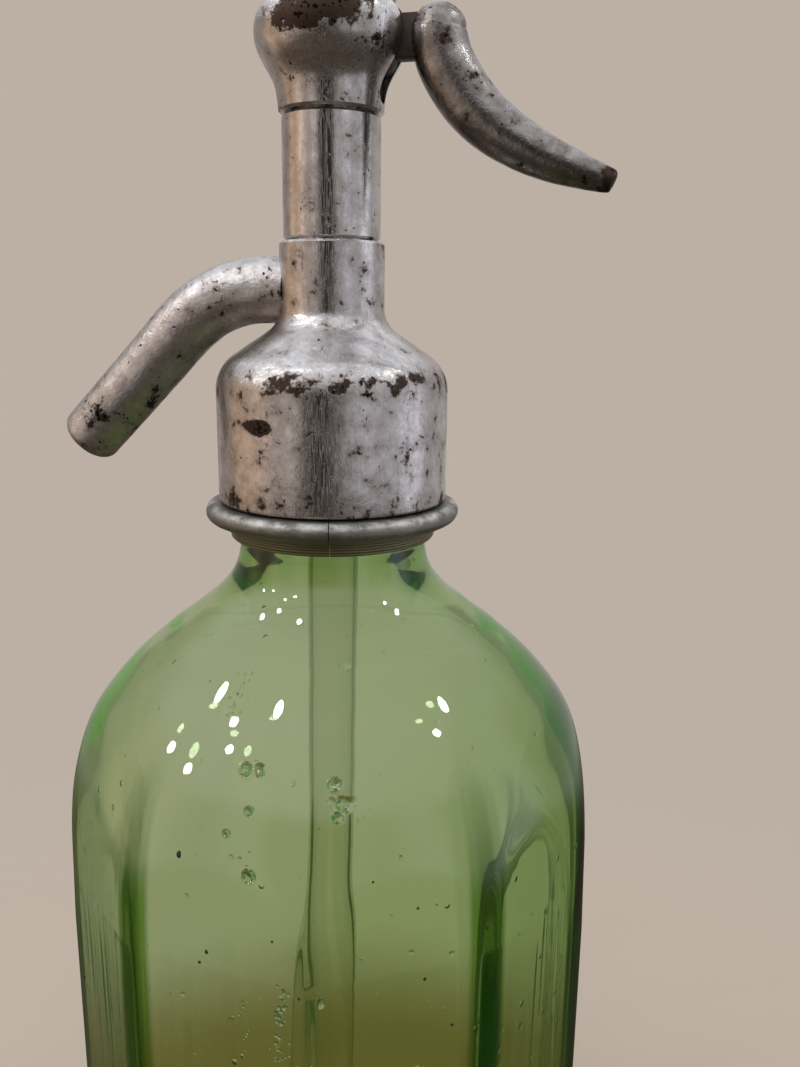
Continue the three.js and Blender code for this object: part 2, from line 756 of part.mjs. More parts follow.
add('disc_screw', revolve([
  [0, disc_z - seat_gap - screw_head_height],
  [screw_head_radius, disc_z - seat_gap - screw_head_height],
  [screw_head_radius, disc_z - seat_gap],
  [screw_radius, disc_z - seat_gap],
  [screw_radius, screw_top_z],
  [0, screw_top_z],
], small_segments), 'brass', valve_rod);

const window_half = finger_radius + seat_gap;
const yoke_top_z = pivot_z + window_half + yoke_wall;
const yoke_foot_z = pivot_z - window_half - yoke_wall;
const yoke_hub_radius = rod_hole + yoke_hub_wall;
const yoke_half_width = arm_half + 2 * seat_gap + yoke_wall;
const yoke_hub_top_z = yoke_foot_z + yoke_wall / 2;
const rod_top_z = yoke_foot_z;
add('valve_rod', rod(rod_radius, rod_foot_z, rod_top_z), 'brass', valve_rod);

const yoke_frame = solid(block(
  [-yoke_half_thickness, -yoke_half_width, yoke_foot_z + seat_gap],
  [yoke_half_thickness, yoke_half_width, yoke_top_z],
)).subtract(solid(block(
  [-yoke_half_thickness - overrun, -yoke_half_width + yoke_wall, pivot_z - window_half],
  [yoke_half_thickness + overrun, yoke_half_width - yoke_wall, pivot_z + window_half],
)));
const yoke_hub = solid(rod(yoke_hub_radius, yoke_foot_z - yoke_hub_height, yoke_hub_top_z))
  .subtract(solid(rod(rod_hole, yoke_foot_z - yoke_hub_height - overrun, rod_top_z + seat_gap)));
add('rod_yoke', yoke_frame.add(yoke_hub), 'brass', valve_rod);

const collar_z = gland_top_z + 2 * seat_gap;
const collar_top = collar_z + spring_collar_height;
const spring_radius = barrel_bore - spring_room - spring_wire_radius;
const spring_collar_radius = spring_radius + spring_wire_radius;
add('spring_collar', ring(rod_hole, spring_collar_radius, collar_z, collar_top), 'brass', valve_rod);

// The spring pushes the rod down from the housing's spigot. It is one unbroken coil.
const spring_low = collar_top + seat_gap + spring_wire_radius;
const spring_high = housing_spigot_z - seat_gap - spring_wire_radius;
const turn_steps = 12;
const wire_sides = 6;
function springRings() {
  const rings = [];
  const steps = spring_turns * turn_steps;
  const pitch_angle = Math.atan2(spring_high - spring_low, 2 * Math.PI * spring_radius * spring_turns);
  for (let i = 0; i <= steps; i += 1) {
    const angle = (2 * Math.PI * i) / turn_steps;
    const z = spring_low + ((spring_high - spring_low) * i) / steps;
    const out = new THREE.Vector3(Math.cos(angle), Math.sin(angle), 0);
    const along = new THREE.Vector3(-Math.sin(angle), Math.cos(angle), 0);
    const up = new THREE.Vector3(0, 0, Math.cos(pitch_angle))
      .addScaledVector(along, -Math.sin(pitch_angle));
    const wire = [];
    for (let j = 0; j < wire_sides; j += 1) {
      const side = (2 * Math.PI * j) / wire_sides;
      wire.push(new THREE.Vector3(0, 0, z)
        .addScaledVector(out, spring_radius + spring_wire_radius * Math.cos(side))
        .addScaledVector(up, spring_wire_radius * Math.sin(side)));
    }
    rings.push(wire);
  }
  return rings;
}
add('valve_spring', loft(springRings()), 'steel');

export default part;
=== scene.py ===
# Soda siphon: a ten-sided green glass bottle closed by a plated head with a bent spout and a horn
# lever. The sections follow the siphon as it is put together, from the glass up to the lever, and
# then the room that it is photographed in. Metres, +Z up, +X to the lever and -X to the spout.
import math
import random
from math import cos, pi, radians, sin

import bmesh
import bpy
from mathutils import Matrix, Vector, noise


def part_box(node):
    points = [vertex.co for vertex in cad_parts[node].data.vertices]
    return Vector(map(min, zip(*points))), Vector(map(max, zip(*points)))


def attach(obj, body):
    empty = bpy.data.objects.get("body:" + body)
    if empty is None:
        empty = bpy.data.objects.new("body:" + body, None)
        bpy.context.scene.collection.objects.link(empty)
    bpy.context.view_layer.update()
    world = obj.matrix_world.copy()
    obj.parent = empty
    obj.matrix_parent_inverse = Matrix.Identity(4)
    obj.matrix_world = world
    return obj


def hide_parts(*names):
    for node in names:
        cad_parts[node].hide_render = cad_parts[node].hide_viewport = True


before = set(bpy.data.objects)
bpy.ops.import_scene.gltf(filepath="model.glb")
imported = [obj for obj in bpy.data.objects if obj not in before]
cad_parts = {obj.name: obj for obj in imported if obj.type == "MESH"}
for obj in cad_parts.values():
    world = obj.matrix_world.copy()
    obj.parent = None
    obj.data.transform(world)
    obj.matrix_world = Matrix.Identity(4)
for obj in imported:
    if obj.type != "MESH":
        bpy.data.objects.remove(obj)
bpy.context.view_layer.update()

mm = 0.001

# Camera: held close to the head and a little above it, looking down past it at the glass, so that
# the head is drawn large and the bottle runs out of the picture.
camera_azimuth = radians(18)
camera_reach = 174 * mm
camera_height = 243.3 * mm
camera_pitch = radians(13.1)
camera_yaw = radians(4.2)
camera_roll = radians(0.7)
lens_length = 31.45


def placed(name, data):
    """A new object in the scene that holds the data."""
    made = bpy.data.objects.new(name, data)
    bpy.context.scene.collection.objects.link(made)
    return made


def photo_camera():
    """The camera at the photograph's place, turned in the order in which a hand turns it."""
    made = placed("camera", bpy.data.cameras.new("camera"))
    made.data.lens = lens_length
    made.data.clip_start = 5 * mm
    place = Vector((sin(camera_azimuth), -cos(camera_azimuth), 0)) * camera_reach
    place.z = camera_height
    heading = (
        Matrix.Rotation(camera_azimuth - camera_yaw, 4, "Z")
        @ Matrix.Rotation(pi / 2 - camera_pitch, 4, "X")
        @ Matrix.Rotation(camera_roll, 4, "Z")
    )
    made.matrix_world = Matrix.Translation(place) @ heading
    bpy.context.scene.camera = made


photo_camera()

# Bottle: soda-lime glass, tinted green by iron and pressed in a ten-sided mould. The cavity follows
# the panels and sits a little to the front, and each panel ends in an arch at the shoulder.
ridge_radius = 51.6 * mm
facet_count = 10
bottle_steps = 360
ridge_turn = radians(-5.84)
ridge_softness = 127
ridge_crowding = 0.8
arch_softness = 0.9 * mm
arch_start = 126 * mm
panel_wall = 3.8 * mm
cavity_follow = 0.96
cavity_shift = Vector((-0.9, -0.62)) * mm
heel_height = 9 * mm
shoulder_foot = 141 * mm
collar_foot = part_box("collar_half_front")[0].z
mouth_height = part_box("bottle")[1].z
neck_radius = 17.3 * mm
grip_radius = 16.2 * mm
lip_radius = 18.3 * mm
lip_foot = 219.5 * mm
mouth_radius = 10.5 * mm
floor_height = 9 * mm
floor_crown = 14 * mm
foot_ring_radius = 37 * mm
foot_edge = 37.74 * mm
foot_recess = 1.1 * mm
press_end = shoulder_foot + 45 * mm
neck_fade = 25 * mm
floor_fade = 30 * mm
press_wave = 0.05 * mm
cavity_wave = 0.1 * mm
wave_length = 34 * mm
drag_lines = (3.4, 3.4, 90)
drag_end = shoulder_foot + 20 * mm
# Painted shade: the glass's colour is painted dark green along the panels' corners for light on its
# first way through. One front corner stays clear, and the strips fade at the shoulder.
corner_spread = (0.8, 0.94)
corner_fade = (shoulder_foot + 8 * mm, shoulder_foot + 34 * mm)
clear_corner = ridge_turn - radians(72)
corner_shade_colour = "#65922c"
first_way = 1.5
# Painted glow: the glass emits light for rays reflected inside it more than a few times, dimmer on
# the body than at the shoulder.
painted_glow_after = 3.5
glow_low = 0.25
glow_full = shoulder_foot + 25 * mm
glass_index = 1.52
glass_density = 185
shoulder_walls = ((0, panel_wall), (0.25, 4.2 * mm), (0.6, 4.3 * mm), (0.8, 5 * mm), (1, 6.8 * mm))
shoulder_shares = (
    (0, 1), (0.13, 0.985), (0.26, 0.952), (0.37, 0.9), (0.45, 0.84), (0.52, 0.752), (0.6, 0.625),
    (0.68, 0.465), (0.76, 0.29), (0.82, 0.158), (0.88, 0.062), (0.935, 0.018), (1, 0),
)
sharp_turn = radians(32)
doubled = 0.002 * mm
soft = {"interpolation_type": "SMOOTHSTEP"}
rgba = {"data_type": "RGBA"}


def linear(code):
    """The linear colour of an sRGB hex code."""
    parts = [int(code[i:i + 2], 16) / 255 for i in (1, 3, 5)]
    return [p / 12.92 if p <= 0.04045 else ((p + 0.055) / 1.055) ** 2.4 for p in parts] + [1]


def smooth(points, steps):
    """A curve through every point, with steps stretches between two of them."""
    ends = [Vector(p) for p in (points[0], *points, points[-1])]
    made = []
    for a, b, c, d in zip(ends, ends[1:], ends[2:], ends[3:]):
        for i in range(steps):
            t = i / steps
            bend = (2 * a - 5 * b + 4 * c - d) * t**2 + (3 * (b - c) + d - a) * t**3
            made.append((2 * b + (c - a) * t + bend) / 2)
    return made + [ends[-1]]


def piece(name, points, faces):
    """A closed smooth mesh from points and faces."""
    mesh = bpy.data.meshes.new(name)
    mesh.from_pydata([tuple(p) for p in points], [], faces)
    made = placed(name, mesh)
    tidy(made)
    return made


def tidy(made):
    """Merges doubled points, turns the faces outward and shades them, with sharp edges kept."""
    shape = bmesh.new()
    shape.from_mesh(made.data)
    bmesh.ops.remove_doubles(shape, verts=shape.verts, dist=doubled)
    bmesh.ops.dissolve_degenerate(shape, edges=shape.edges, dist=doubled / 2)
    bmesh.ops.recalc_face_normals(shape, faces=shape.faces)
    shape.to_mesh(made.data)
    shape.free()
    made.data.shade_smooth()
    made.data.set_sharp_from_angle(angle=sharp_turn)


def lathe(name, outline, steps, reshape=None, start=0.0, sweep=2 * pi, crowd=None):
    """Turns an outline of (radius, height) about Z. An outline off the axis closes on itself."""
    whole = math.isclose(sweep, 2 * pi)
    turns = [start + sweep * i / steps for i in range(steps if whole else steps + 1)]
    if crowd:
        turns = [crowd(turn) for turn in turns]
    points = []
    for turn in turns:
        for row, (radius, height) in enumerate(outline):
            out = reshape(turn, radius, height, row) if reshape else radius
            points.append((out * cos(turn), out * sin(turn), height))
    rows = len(outline)
    ring = outline[0][0] > 0
    faces = []
    for i in range(len(turns) if whole else steps):
        a, b = i * rows, ((i + 1) % len(turns)) * rows
        for j in range(rows if ring else rows - 1):
            k = (j + 1) % rows
            faces.append((a + j, b + j, b + k, a + k))
    if not whole:
        faces += [tuple(range(rows)), tuple(range(len(points) - 1, len(points) - rows - 1, -1))]
    return piece(name, points, faces)


def to_ridges(turn):
    """Moves a turn towards the nearest ridge, where the glass bends most."""
    return turn - ridge_crowding / facet_count * sin(facet_count * (turn - ridge_turn))


def decagon(turn, radius, softness=arch_softness):
    """The radius of the ten-sided outline, its ridges a little rounded, cut by a round one."""
    middle = ridge_radius * cos(pi / facet_count)
    total = 0
    for side in range(facet_count):
        facing = cos(turn - ridge_turn - (side + 0.5) * 2 * pi / facet_count)
        total += max(facing, 0) ** ridge_softness
    flat = middle / total ** (1 / ridge_softness)
    half_gap = (flat - radius) / 2
    return (flat + radius) / 2 - math.sqrt(half_gap**2 + softness**2) + softness / 2


def wall_at(height):
    """The wall's thickness at a height, thin on the panels and thick at the neck."""
    up = min(max((height - shoulder_foot) / (collar_foot - shoulder_foot), 0), 1)
    for (low, thick), (high, thicker) in zip(shoulder_walls, shoulder_walls[1:]):
        if up <= high:
            return thick + (thicker - thick) * (up - low) / (high - low)


def bottle_outline():
    """The outside from the middle of the base to the mouth, then the cavity down to its floor."""
    heel = [(0.84, 0), (0.885, 0.04), (0.93, 0.16), (0.965, 0.36), (0.988, 0.62), (1, 1)]
    foot = [
        (0, foot_recess), (foot_ring_radius * 0.7, foot_recess),
        (foot_ring_radius, foot_recess / 2),
    ]
    side = [(ridge_radius, shoulder_foot * share) for share in (0.12, 0.35, 0.6, 0.8, 0.92)]
    outside = foot + smooth([(ridge_radius * out, heel_height * up) for out, up in heel], 3)
    shoulder = [
        (neck_radius + (ridge_radius - neck_radius) * out,
         shoulder_foot + (collar_foot - shoulder_foot) * up) for up, out in shoulder_shares
    ]
    outside += side + smooth(shoulder, 5)
    outside += [(grip_radius, collar_foot + 4 * mm), (grip_radius, lip_foot)]
    outside += smooth([
        (lip_radius, lip_foot + 1.1 * mm), (lip_radius, mouth_height - 1.1 * mm),
        (lip_radius - 1.1 * mm, mouth_height), (mouth_radius + 0.8 * mm, mouth_height),
        (mouth_radius, mouth_height - 0.8 * mm),
    ], 3)
    inside = smooth([
        (mouth_radius, mouth_height - 1.5 * mm), (mouth_radius, lip_foot),
        *[(radius - wall_at(height), height) for radius, height in shoulder[::-1]],
    ], 5)
    cavity_radius = ridge_radius - panel_wall
    inside += [(cavity_radius, shoulder_foot * share) for share in (0.9, 0.75, 0.55, 0.35, 0.2)]
    inside += smooth([
        (cavity_radius, 18.4 * mm), (cavity_radius * 0.97, 14.2 * mm),
        (cavity_radius * 0.88, 10.9 * mm), (cavity_radius * 0.7, floor_height),
        (cavity_radius * 0.45, 11 * mm), (cavity_radius * 0.2, 13.4 * mm), (0, floor_crown),
    ], 4)
    return outside, inside


def panelled(turn, radius, height):
    """The radius of the panels at a height, their arches softer the higher they are."""
    softness = arch_softness * min(max((height - arch_start) / (shoulder_foot - arch_start), 0), 1)
    return decagon(turn, radius, softness)


def on_glass(turn, height):
    """The place on the outside of the glass at a turn and a height, and the way out of it there."""
    rows = [row for row in bottle_outline()[0] if row[1] > heel_height]

    def place(turn, height):
        (near, low), (far, high) = next(
            (below, above) for below, above in zip(rows, rows[1:]) if height <= above[1]
        )
        radius = panelled(turn, near + (far - near) * (height - low) / (high - low), height)
        return Vector((radius * cos(turn), radius * sin(turn), height))

    step = 0.01
    around = place(turn + step, height) - place(turn - step, height)
    along = place(turn, height + step * 50 * mm) - place(turn, height - step * 50 * mm)
    return place(turn, height), around.cross(along).normalized()


def bottle_mesh():
    """The glass, its panels pressed by the mould and its cavity following them loosely."""
    outside, inside = bottle_outline()

    def pressed(turn, radius, height, row):
        if radius <= 0:
            return radius
        spot = Vector((cos(turn), sin(turn), height / wave_length / 2)) * 2
        if row < len(outside):
            if height > press_end or radius < foot_edge and height < heel_height:
                return radius
            return panelled(turn, radius, height) - press_wave * (0.5 + 0.5 * noise.noise(spot))
        fade = min(max((collar_foot - height) / neck_fade, 0), 1) * min(height / floor_fade, 1)
        wall = wall_at(height)
        lean = cavity_shift.x * cos(turn) + cavity_shift.y * sin(turn)
        aside = cavity_shift.y * cos(turn) - cavity_shift.x * sin(turn)
        panels = panelled(turn - fade * aside / radius, radius + wall, height) - wall
        wave = cavity_wave * noise.noise(spot * 1.3 + Vector((7, 3, 1)))
        return radius + fade * (cavity_follow * (panels - radius) + lean + wave)

    outline = outside + inside
    return lathe("glass_bottle", outline, bottle_steps, pressed, ridge_turn, crowd=to_ridges)


def plug(tree, socket, value):
    """Gives a socket a value or a colour's hex code, or links it to a socket or a whole node."""
    if isinstance(value, str):
        value = linear(value)
    if isinstance(value, bpy.types.Node):
        value = next(s for s in value.outputs if s.enabled)
    if isinstance(value, bpy.types.NodeSocket):
        tree.links.new(value, socket)
    else:
        socket.default_value = value


def add(tree, kind, sockets=(), **settings):
    """Adds a node. Its sockets are a list in the order in which it shows them, or go by name."""
    made = tree.nodes.new("ShaderNode" + kind)
    for name, value in settings.items():
        setattr(made, name, value)
    shown = [socket for socket in made.inputs if socket.enabled]
    if isinstance(sockets, dict):
        shown, sockets = [made.inputs[name] for name in sockets], sockets.values()
    for socket, value in zip(shown, sockets):
        plug(tree, socket, value)
    return made


def finish_named(name):
    """A new material with its node tree, its Principled shader and the place on the piece."""
    made = bpy.data.materials.new(name)
    made.use_nodes = True
    tree = made.node_tree
    shader = next(n for n in tree.nodes if n.type == "BSDF_PRINCIPLED")
    return made, tree, shader, add(tree, "TexCoord").outputs["Object"]


def settle(tree, shader, **values):
    """Sets or links the shader's own sockets, named with _ for a space."""
    for name, value in values.items():
        plug(tree, shader.inputs[name.replace("_", " ")], value)


def bring_out(tree, node, socket):
    """Links a node to a socket of the material's output."""
    output = next(n for n in tree.nodes if n.type == "OUTPUT_MATERIAL")
    tree.links.new(node.outputs[0], output.inputs[socket])


def cover(made, material):
    """Makes a material the only one of a piece."""
    made.data.materials.clear()
    made.data.materials.append(material)


def dress(made, body, slot, material, *nodes):
    """Gives a piece its material and the body it rides on, and hides the nodes it stands for. Its
    slot is not used.
    """
    cover(made, material)
    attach(made, body)
    if nodes:
        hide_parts(*nodes)


def painted_corner_shade(tree, place, rise, rays):
    """The mask of a painted dark-green shade along the panels' corners, where the wall is deepest,
    for light on its first way through. One corner at the front stays clear, and at the shoulder
    they all fade.
    """
    parts = add(tree, "SeparateXYZ", [place])
    turn = add(tree, "Math", [parts.outputs["Y"], parts.outputs["X"]], operation="ARCTAN2")
    off = add(tree, "Math", [turn, ridge_turn], operation="SUBTRACT")
    times = add(tree, "Math", [off, facet_count], operation="MULTIPLY")
    wave = add(tree, "Math", [times], operation="COSINE")
    strip = add(tree, "MapRange", [wave, *corner_spread], **soft)
    low = add(tree, "MapRange", [rise, *corner_fade, 1, 0], **soft)
    crossed = rays.outputs["Transmission Depth"]
    first = add(tree, "Math", [crossed, first_way], operation="LESS_THAN")
    away = add(tree, "Math", [turn, clear_corner], operation="SUBTRACT")
    near = add(tree, "Math", [away], operation="COSINE")
    apart = add(tree, "Math", [near, cos(pi / facet_count)], operation="LESS_THAN")
    for part in (low, first, apart):
        strip = add(tree, "Math", [strip, part], operation="MULTIPLY")
    return strip


def pressed_glass(name, tint, glow, bruises=()):
    """Pressed soda-lime glass: clear, wavy and dragged by the mould, with seeds and old bruises in
    its skin, and a painted dark-green shade at its corners. A painted glow (emission) stands in for
    light that the wall has led round a few times, dimmer on the body than on the shoulder.
    """
    made, tree, shader, place = finish_named(name)
    waves = add(tree, "TexNoise", [place, 1 / (11 * mm), 1])
    rise = add(tree, "SeparateXYZ", [place]).outputs["Z"]
    body = add(tree, "MapRange", [rise, arch_start, drag_end, 1, 0], **soft)
    long = add(tree, "Mapping", {
        "Vector": place, "Scale": [1 / (size * mm) for size in drag_lines],
    })
    drag = add(tree, "TexNoise", [long, 1, 1.2])
    drawn = add(tree, "Math", [drag, body], operation="MULTIPLY")
    seeds = add(tree, "TexVoronoi", {"Vector": place, "Scale": 1 / (6.5 * mm)})
    seed = add(tree, "MapRange", [seeds.outputs["Distance"], 0.03, 0.09, 1, 0], **soft)
    crumble = add(tree, "TexNoise", [place, 1 / (1.1 * mm), 2])
    bruised = 0
    for turn, height, radius in bruises:
        centre = on_glass(radians(turn), height * mm)[0]
        far = add(tree, "VectorMath", [place, centre], operation="DISTANCE")
        near = add(tree, "MapRange", [far.outputs["Value"], 0, radius * mm, 1, 0], **soft)
        bruised = add(tree, "Math", [near, bruised], operation="ADD")
    rough = add(tree, "Math", [crumble, bruised], operation="MULTIPLY")
    under = {}
    for lump, depth in ((waves, 0.035), (drawn, 0.13), (seed, 0.12), (rough, 2)):
        skin = add(tree, "Bump", {"Height": lump, "Distance": depth * mm, **under})
        under = {"Normal": skin}
    rays = add(tree, "LightPath")
    # Painted glow: the glass emits its glow colour for rays reflected inside it many times, more at
    # the shoulder.
    many = add(tree, "Math", [rays.outputs["Glossy Depth"], painted_glow_after], operation="GREATER_THAN")
    lit = add(tree, "MapRange", [rise, shoulder_foot, glow_full, glow_low], **soft)
    painted_glow_share = add(tree, "Math", [many, lit], operation="MULTIPLY")
    # Painted shade: the glass's colour turns dark green along the corners where the mask is on.
    corner_shade = add(tree, "Mix", [painted_corner_shade(tree, place, rise, rays), "#ffffff", corner_shade_colour], **rgba)
    settle(tree, shader, Base_Color=corner_shade, Roughness=0.015, IOR=glass_index, Transmission_Weight=1.0,
           Normal=skin, Emission_Color=glow, Emission_Strength=painted_glow_share)
    inside = add(tree, "VolumeAbsorption", [tint, glass_density])
    bring_out(tree, inside, "Volume")
    return made


bottle_bruises = (
    (-71.9, 173.3, 1.5), (-70.6, 170.9, 1.7), (-71.4, 169.3, 1.3), (-68.9, 171.2, 1.1),
    (-90.7, 174.5, 1.6), (-87.8, 174.7, 1.3), (-88.5, 169.6, 1.0), (-92.4, 166.1, 0.9),
    (-87.5, 160.4, 1.4),
)
# The glow colour #7d9a5c is painted light: an emission in place of light led round inside the wall.
green_glass = pressed_glass("green soda-lime glass, pressed", "#c4e597", "#7d9a5c", bottle_bruises)
dress(bottle_mesh(), "root", "green_glass", green_glass, "bottle")

# Dip tube: drawn clear glass, faintly green, hung from the mouth by a flange at its top. It stops
# a few millimetres short of the floor.
tube_radius = 4.7 * mm
tube_bore = 3.8 * mm
tube_low, tube_high = (corner.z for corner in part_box("dip_tube"))
flange_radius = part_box("dip_tube")[1].x
flange_height = 1.2 * mm
tube_density = 230
die_lines = (1.5, 1.5, 60)


def dip_tube_mesh():
    off = 0.3 * mm
    flange_low = tube_high - flange_height
    outline = [
        (tube_bore, tube_low + off), (tube_bore + off, tube_low), (tube_radius - off, tube_low),
        (tube_radius, tube_low + off), (tube_radius, flange_low - off),
        (tube_radius + off, flange_low), (flange_radius - off, flange_low),
        (flange_radius, flange_low + off), (flange_radius, tube_high - off),
        (flange_radius - off, tube_high), (tube_bore + off, tube_high),
        (tube_bore, tube_high - off),
    ]
    return lathe("glass_dip_tube", outline, 64)


def drawn_glass(name, tint):
    """Drawn tube: smooth, with faint lengthwise lines from the die."""
    made, tree, shader, place = finish_named(name)
    long = add(tree, "Mapping", {"Vector": place, "Scale": [1 / (size * mm) for size in die_lines]})
    lines = add(tree, "TexNoise", [long, 1, 1])
    skin = add(tree, "Bump", {"Height": lines, "Distance": 0.02 * mm})
    settle(tree, shader, Base_Color="#ffffff", Roughness=0.02, IOR=glass_index,
           Transmission_Weight=1.0, Normal=skin)
    inside = add(tree, "VolumeAbsorption", [tint, tube_density])
    bring_out(tree, inside, "Volume")
    return made


dress(dip_tube_mesh(), "root", "clear_glass",
      drawn_glass("clear glass tube, drawn", "#d0d79c"), "dip_tube")

# Washers and packings: moulded rubber, hidden between the glass and the metal. They seal the mouth,
# the tube's flange, the rod and the valve.
rubber_nodes = ("mouth_washer", "tube_gasket", "gland_packing", "valve_disc")


def moulded_rubber(name):
    """Black rubber gone grey: matt, with a fine mould grain and a dusty bloom."""
    made, tree, shader, place = finish_named(name)
    bloom = add(tree, "TexNoise", [place, 1 / (3 * mm), 5])
    colour = add(tree, "Mix", [bloom, "#211f1e", "#4a4744"], **rgba)
    grain = add(tree, "TexNoise", [place, 1 / (0.3 * mm), 2])
    skin = add(tree, "Bump", {"Height": grain, "Distance": 0.02 * mm})
    settle(tree, shader, Base_Color=colour, Roughness=0.78, Normal=skin)
    return made


rubber = moulded_rubber("black rubber, moulded and bloomed")
for node_name in rubber_nodes:
    cover(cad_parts[node_name], rubber)

# Collar: a soft white-metal ring cast in two halves and closed round the glass. Its thread is
# inside the bell, its bead carries the bell, and a short turned cone lies on the glass below.
bead_height = 207.9 * mm
bead_radius = 1.7 * mm
bead_reach = 23.7 * mm
cone_foot_radius = 19.15 * mm
cone_top_radius = 20.65 * mm
cone_lines = 5
cone_line_depth = 0.16 * mm
groove = 0.25 * mm
band_radius = 18.7 * mm
band_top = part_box("collar_half_front")[1].z
split_turn = radians(-74)
split_gap = 0.16 * mm


def arc(centre, radius, start, end, steps):
    """Points on an arc about a centre, its angles in degrees from outward to up."""
    turns = [radians(start + (end - start) * i / steps) for i in range(steps + 1)]
    return [(centre[0] + radius * cos(t), centre[1] + radius * sin(t)) for t in turns]


def collar_outline():
    cone_foot, cone_top = collar_foot + groove, bead_height - bead_radius - groove
    cone = []
    for i in range(cone_lines * 4 + 1):
        share = i / (cone_lines * 4)
        dip = cone_line_depth * (0.5 - 0.5 * cos(2 * pi * cone_lines * share))
        out = cone_foot_radius + (cone_top_radius - cone_foot_radius) * share**1.4 - dip
        cone.append((out, cone_foot + (cone_top - cone_foot) * share))
    centre = (bead_reach - bead_radius, bead_height)
    edge = 0.3 * mm
    return [
        (17.7 * mm, collar_foot + edge), (18 * mm, collar_foot),
        (cone_foot_radius - edge, collar_foot), *cone,
        (cone_top_radius + 0.4 * mm, bead_height - bead_radius + 0.05 * mm),
        *arc(centre, bead_radius, -88, 90, 18),
        (band_radius + edge, bead_height + bead_radius),
        (band_radius, bead_height + bead_radius + edge),
        (band_radius, band_top - edge), (band_radius - edge, band_top),
        (16.8 * mm, band_top), (16.5 * mm, band_top - edge), (16.5 * mm, bead_height),
    ]


def cast_pewter(name):
    """Old white metal: dull blue-grey with brown in its hollows, rubbed bright on the crest."""
    made, tree, shader, place = finish_named(name)
    flat = add(tree, "VectorMath", [place, (1, 1, 0)], operation="MULTIPLY")
    out = add(tree, "VectorMath", [flat], operation="LENGTH").outputs["Value"]
    patches = add(tree, "TexNoise", [place, 1 / (3.5 * mm), 6, 0.7])
    grit = add(tree, "TexNoise", [place, 1 / (0.7 * mm), 4])
    height = add(tree, "SeparateXYZ", [place]).outputs["Z"]
    upper = add(tree, "MapRange", [height, bead_height + 0.2 * mm, bead_height + 1.3 * mm], **soft)
    crest = add(tree, "MapRange", [out, bead_reach - 2.2 * mm, bead_reach - 0.9 * mm], **soft)
    rubbed = add(tree, "Math", [upper, crest], operation="MULTIPLY")
    broken = add(tree, "MapRange", [patches, 0.4, 0.62])
    bright = add(tree, "Math", [rubbed, broken], operation="MULTIPLY")
    dull = add(tree, "Mix", [patches, "#55534d", "#9a978e"], **rgba)
    cone = add(tree, "MapRange", [height, bead_height - 2 * mm, bead_height - 1.2 * mm, 0.8, 0])
    olive = add(tree, "Mix", [cone, dull, "#737050"], **rgba)
    colour = add(tree, "Mix", [bright, olive, "#c9c8c4"], **rgba)
    rough = add(tree, "MapRange", [patches, 0.3, 0.7, 0.4, 0.58])
    dents = add(tree, "Bump", {"Height": patches, "Distance": 0.3 * mm})
    skin = add(tree, "Bump", {"Height": grit, "Distance": 0.05 * mm, "Normal": dents})
    settle(tree, shader, Base_Color=colour, Metallic=0.9, Roughness=rough, Normal=skin)
    return made


pewter = cast_pewter("white metal, cast and rubbed")
for side, collar_name in enumerate(("collar_half_front", "collar_half_back")):
    half_gap = split_gap / bead_reach / 2
    begin = split_turn + pi * side + half_gap

    def worn_ring(turn, radius, height, row):
        lump = noise.noise(Vector((cos(turn), sin(turn), height * 90)) * 9)
        return radius - (0.12 * mm * (0.5 + 0.5 * lump) if radius > band_radius * 1.02 else 0)

    half = lathe("dressed_" + collar_name, collar_outline(), 120, worn_ring, begin,
                 pi - 2 * half_gap)
    dress(half, "root", "pewter", pewter, collar_name)

# Head body: bell, sloping shoulder and neck cast in one piece of brass, turned and nickel plated.
# The plate is scratched, pitted and worn dark round the edge of the shoulder.
bell_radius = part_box("head_body")[1].x
bell_bore = 19 * mm
skirt_height, neck_top = (corner.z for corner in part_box("head_body"))
ceiling = 228.8 * mm
shoulder_height = 230 * mm
bell_shoulder_radius = 7.6 * mm
bell_slope = 34
head_neck_radius = 9.45 * mm
neck_fillet = 5 * mm
seam_cut = 0.42 * mm
spout_height = 247.8 * mm
chamber_radius = 6.8 * mm
chamber_floor = 240.4 * mm
passage_radius = 3 * mm
socket_radius = 7.2 * mm
socket_floor = 252.2 * mm
gasket_roof = 230.7 * mm
gasket_room_radius = 7.4 * mm
spout_bore = 3.5 * mm


def bell_outline():
    slope = radians(bell_slope)
    lean = (sin(slope), cos(slope))
    centre = (bell_radius - bell_shoulder_radius, shoulder_height)
    foot = [centre[i] + bell_shoulder_radius * lean[i] for i in (0, 1)]
    fillet_out = head_neck_radius + neck_fillet
    fillet_height = foot[1] + (neck_fillet - (fillet_out - foot[0]) * lean[0]) / lean[1]
    edge = 0.35 * mm
    return [
        (bell_bore, skirt_height + edge), (bell_bore + edge, skirt_height),
        *arc((bell_radius - 0.6 * mm, skirt_height + 0.6 * mm), 0.6 * mm, -90, 0, 4),
        (bell_radius, (skirt_height + shoulder_height) / 2),
        *arc(centre, bell_shoulder_radius, 0, 90 - bell_slope, 14),
        *arc((fillet_out, fillet_height), neck_fillet, 270 - bell_slope, 180, 12),
        (head_neck_radius, (fillet_height + neck_top) / 2),
        (head_neck_radius, neck_top - seam_cut), (head_neck_radius - seam_cut, neck_top),
        (socket_radius, neck_top), (socket_radius, socket_floor), (chamber_radius, socket_floor),
        (chamber_radius, chamber_floor), (passage_radius, chamber_floor),
        (passage_radius, gasket_roof), (gasket_room_radius, gasket_roof),
        (gasket_room_radius, ceiling), (bell_bore, ceiling),
    ]


def dented(depth, size):
    """A reshaping that sinks the outside of a turned piece by shallow old dents."""
    def sink(turn, radius, height, row):
        spot = Vector((radius * cos(turn), radius * sin(turn), height)) / size
        return radius - depth * max(noise.noise(spot), 0)
    return sink


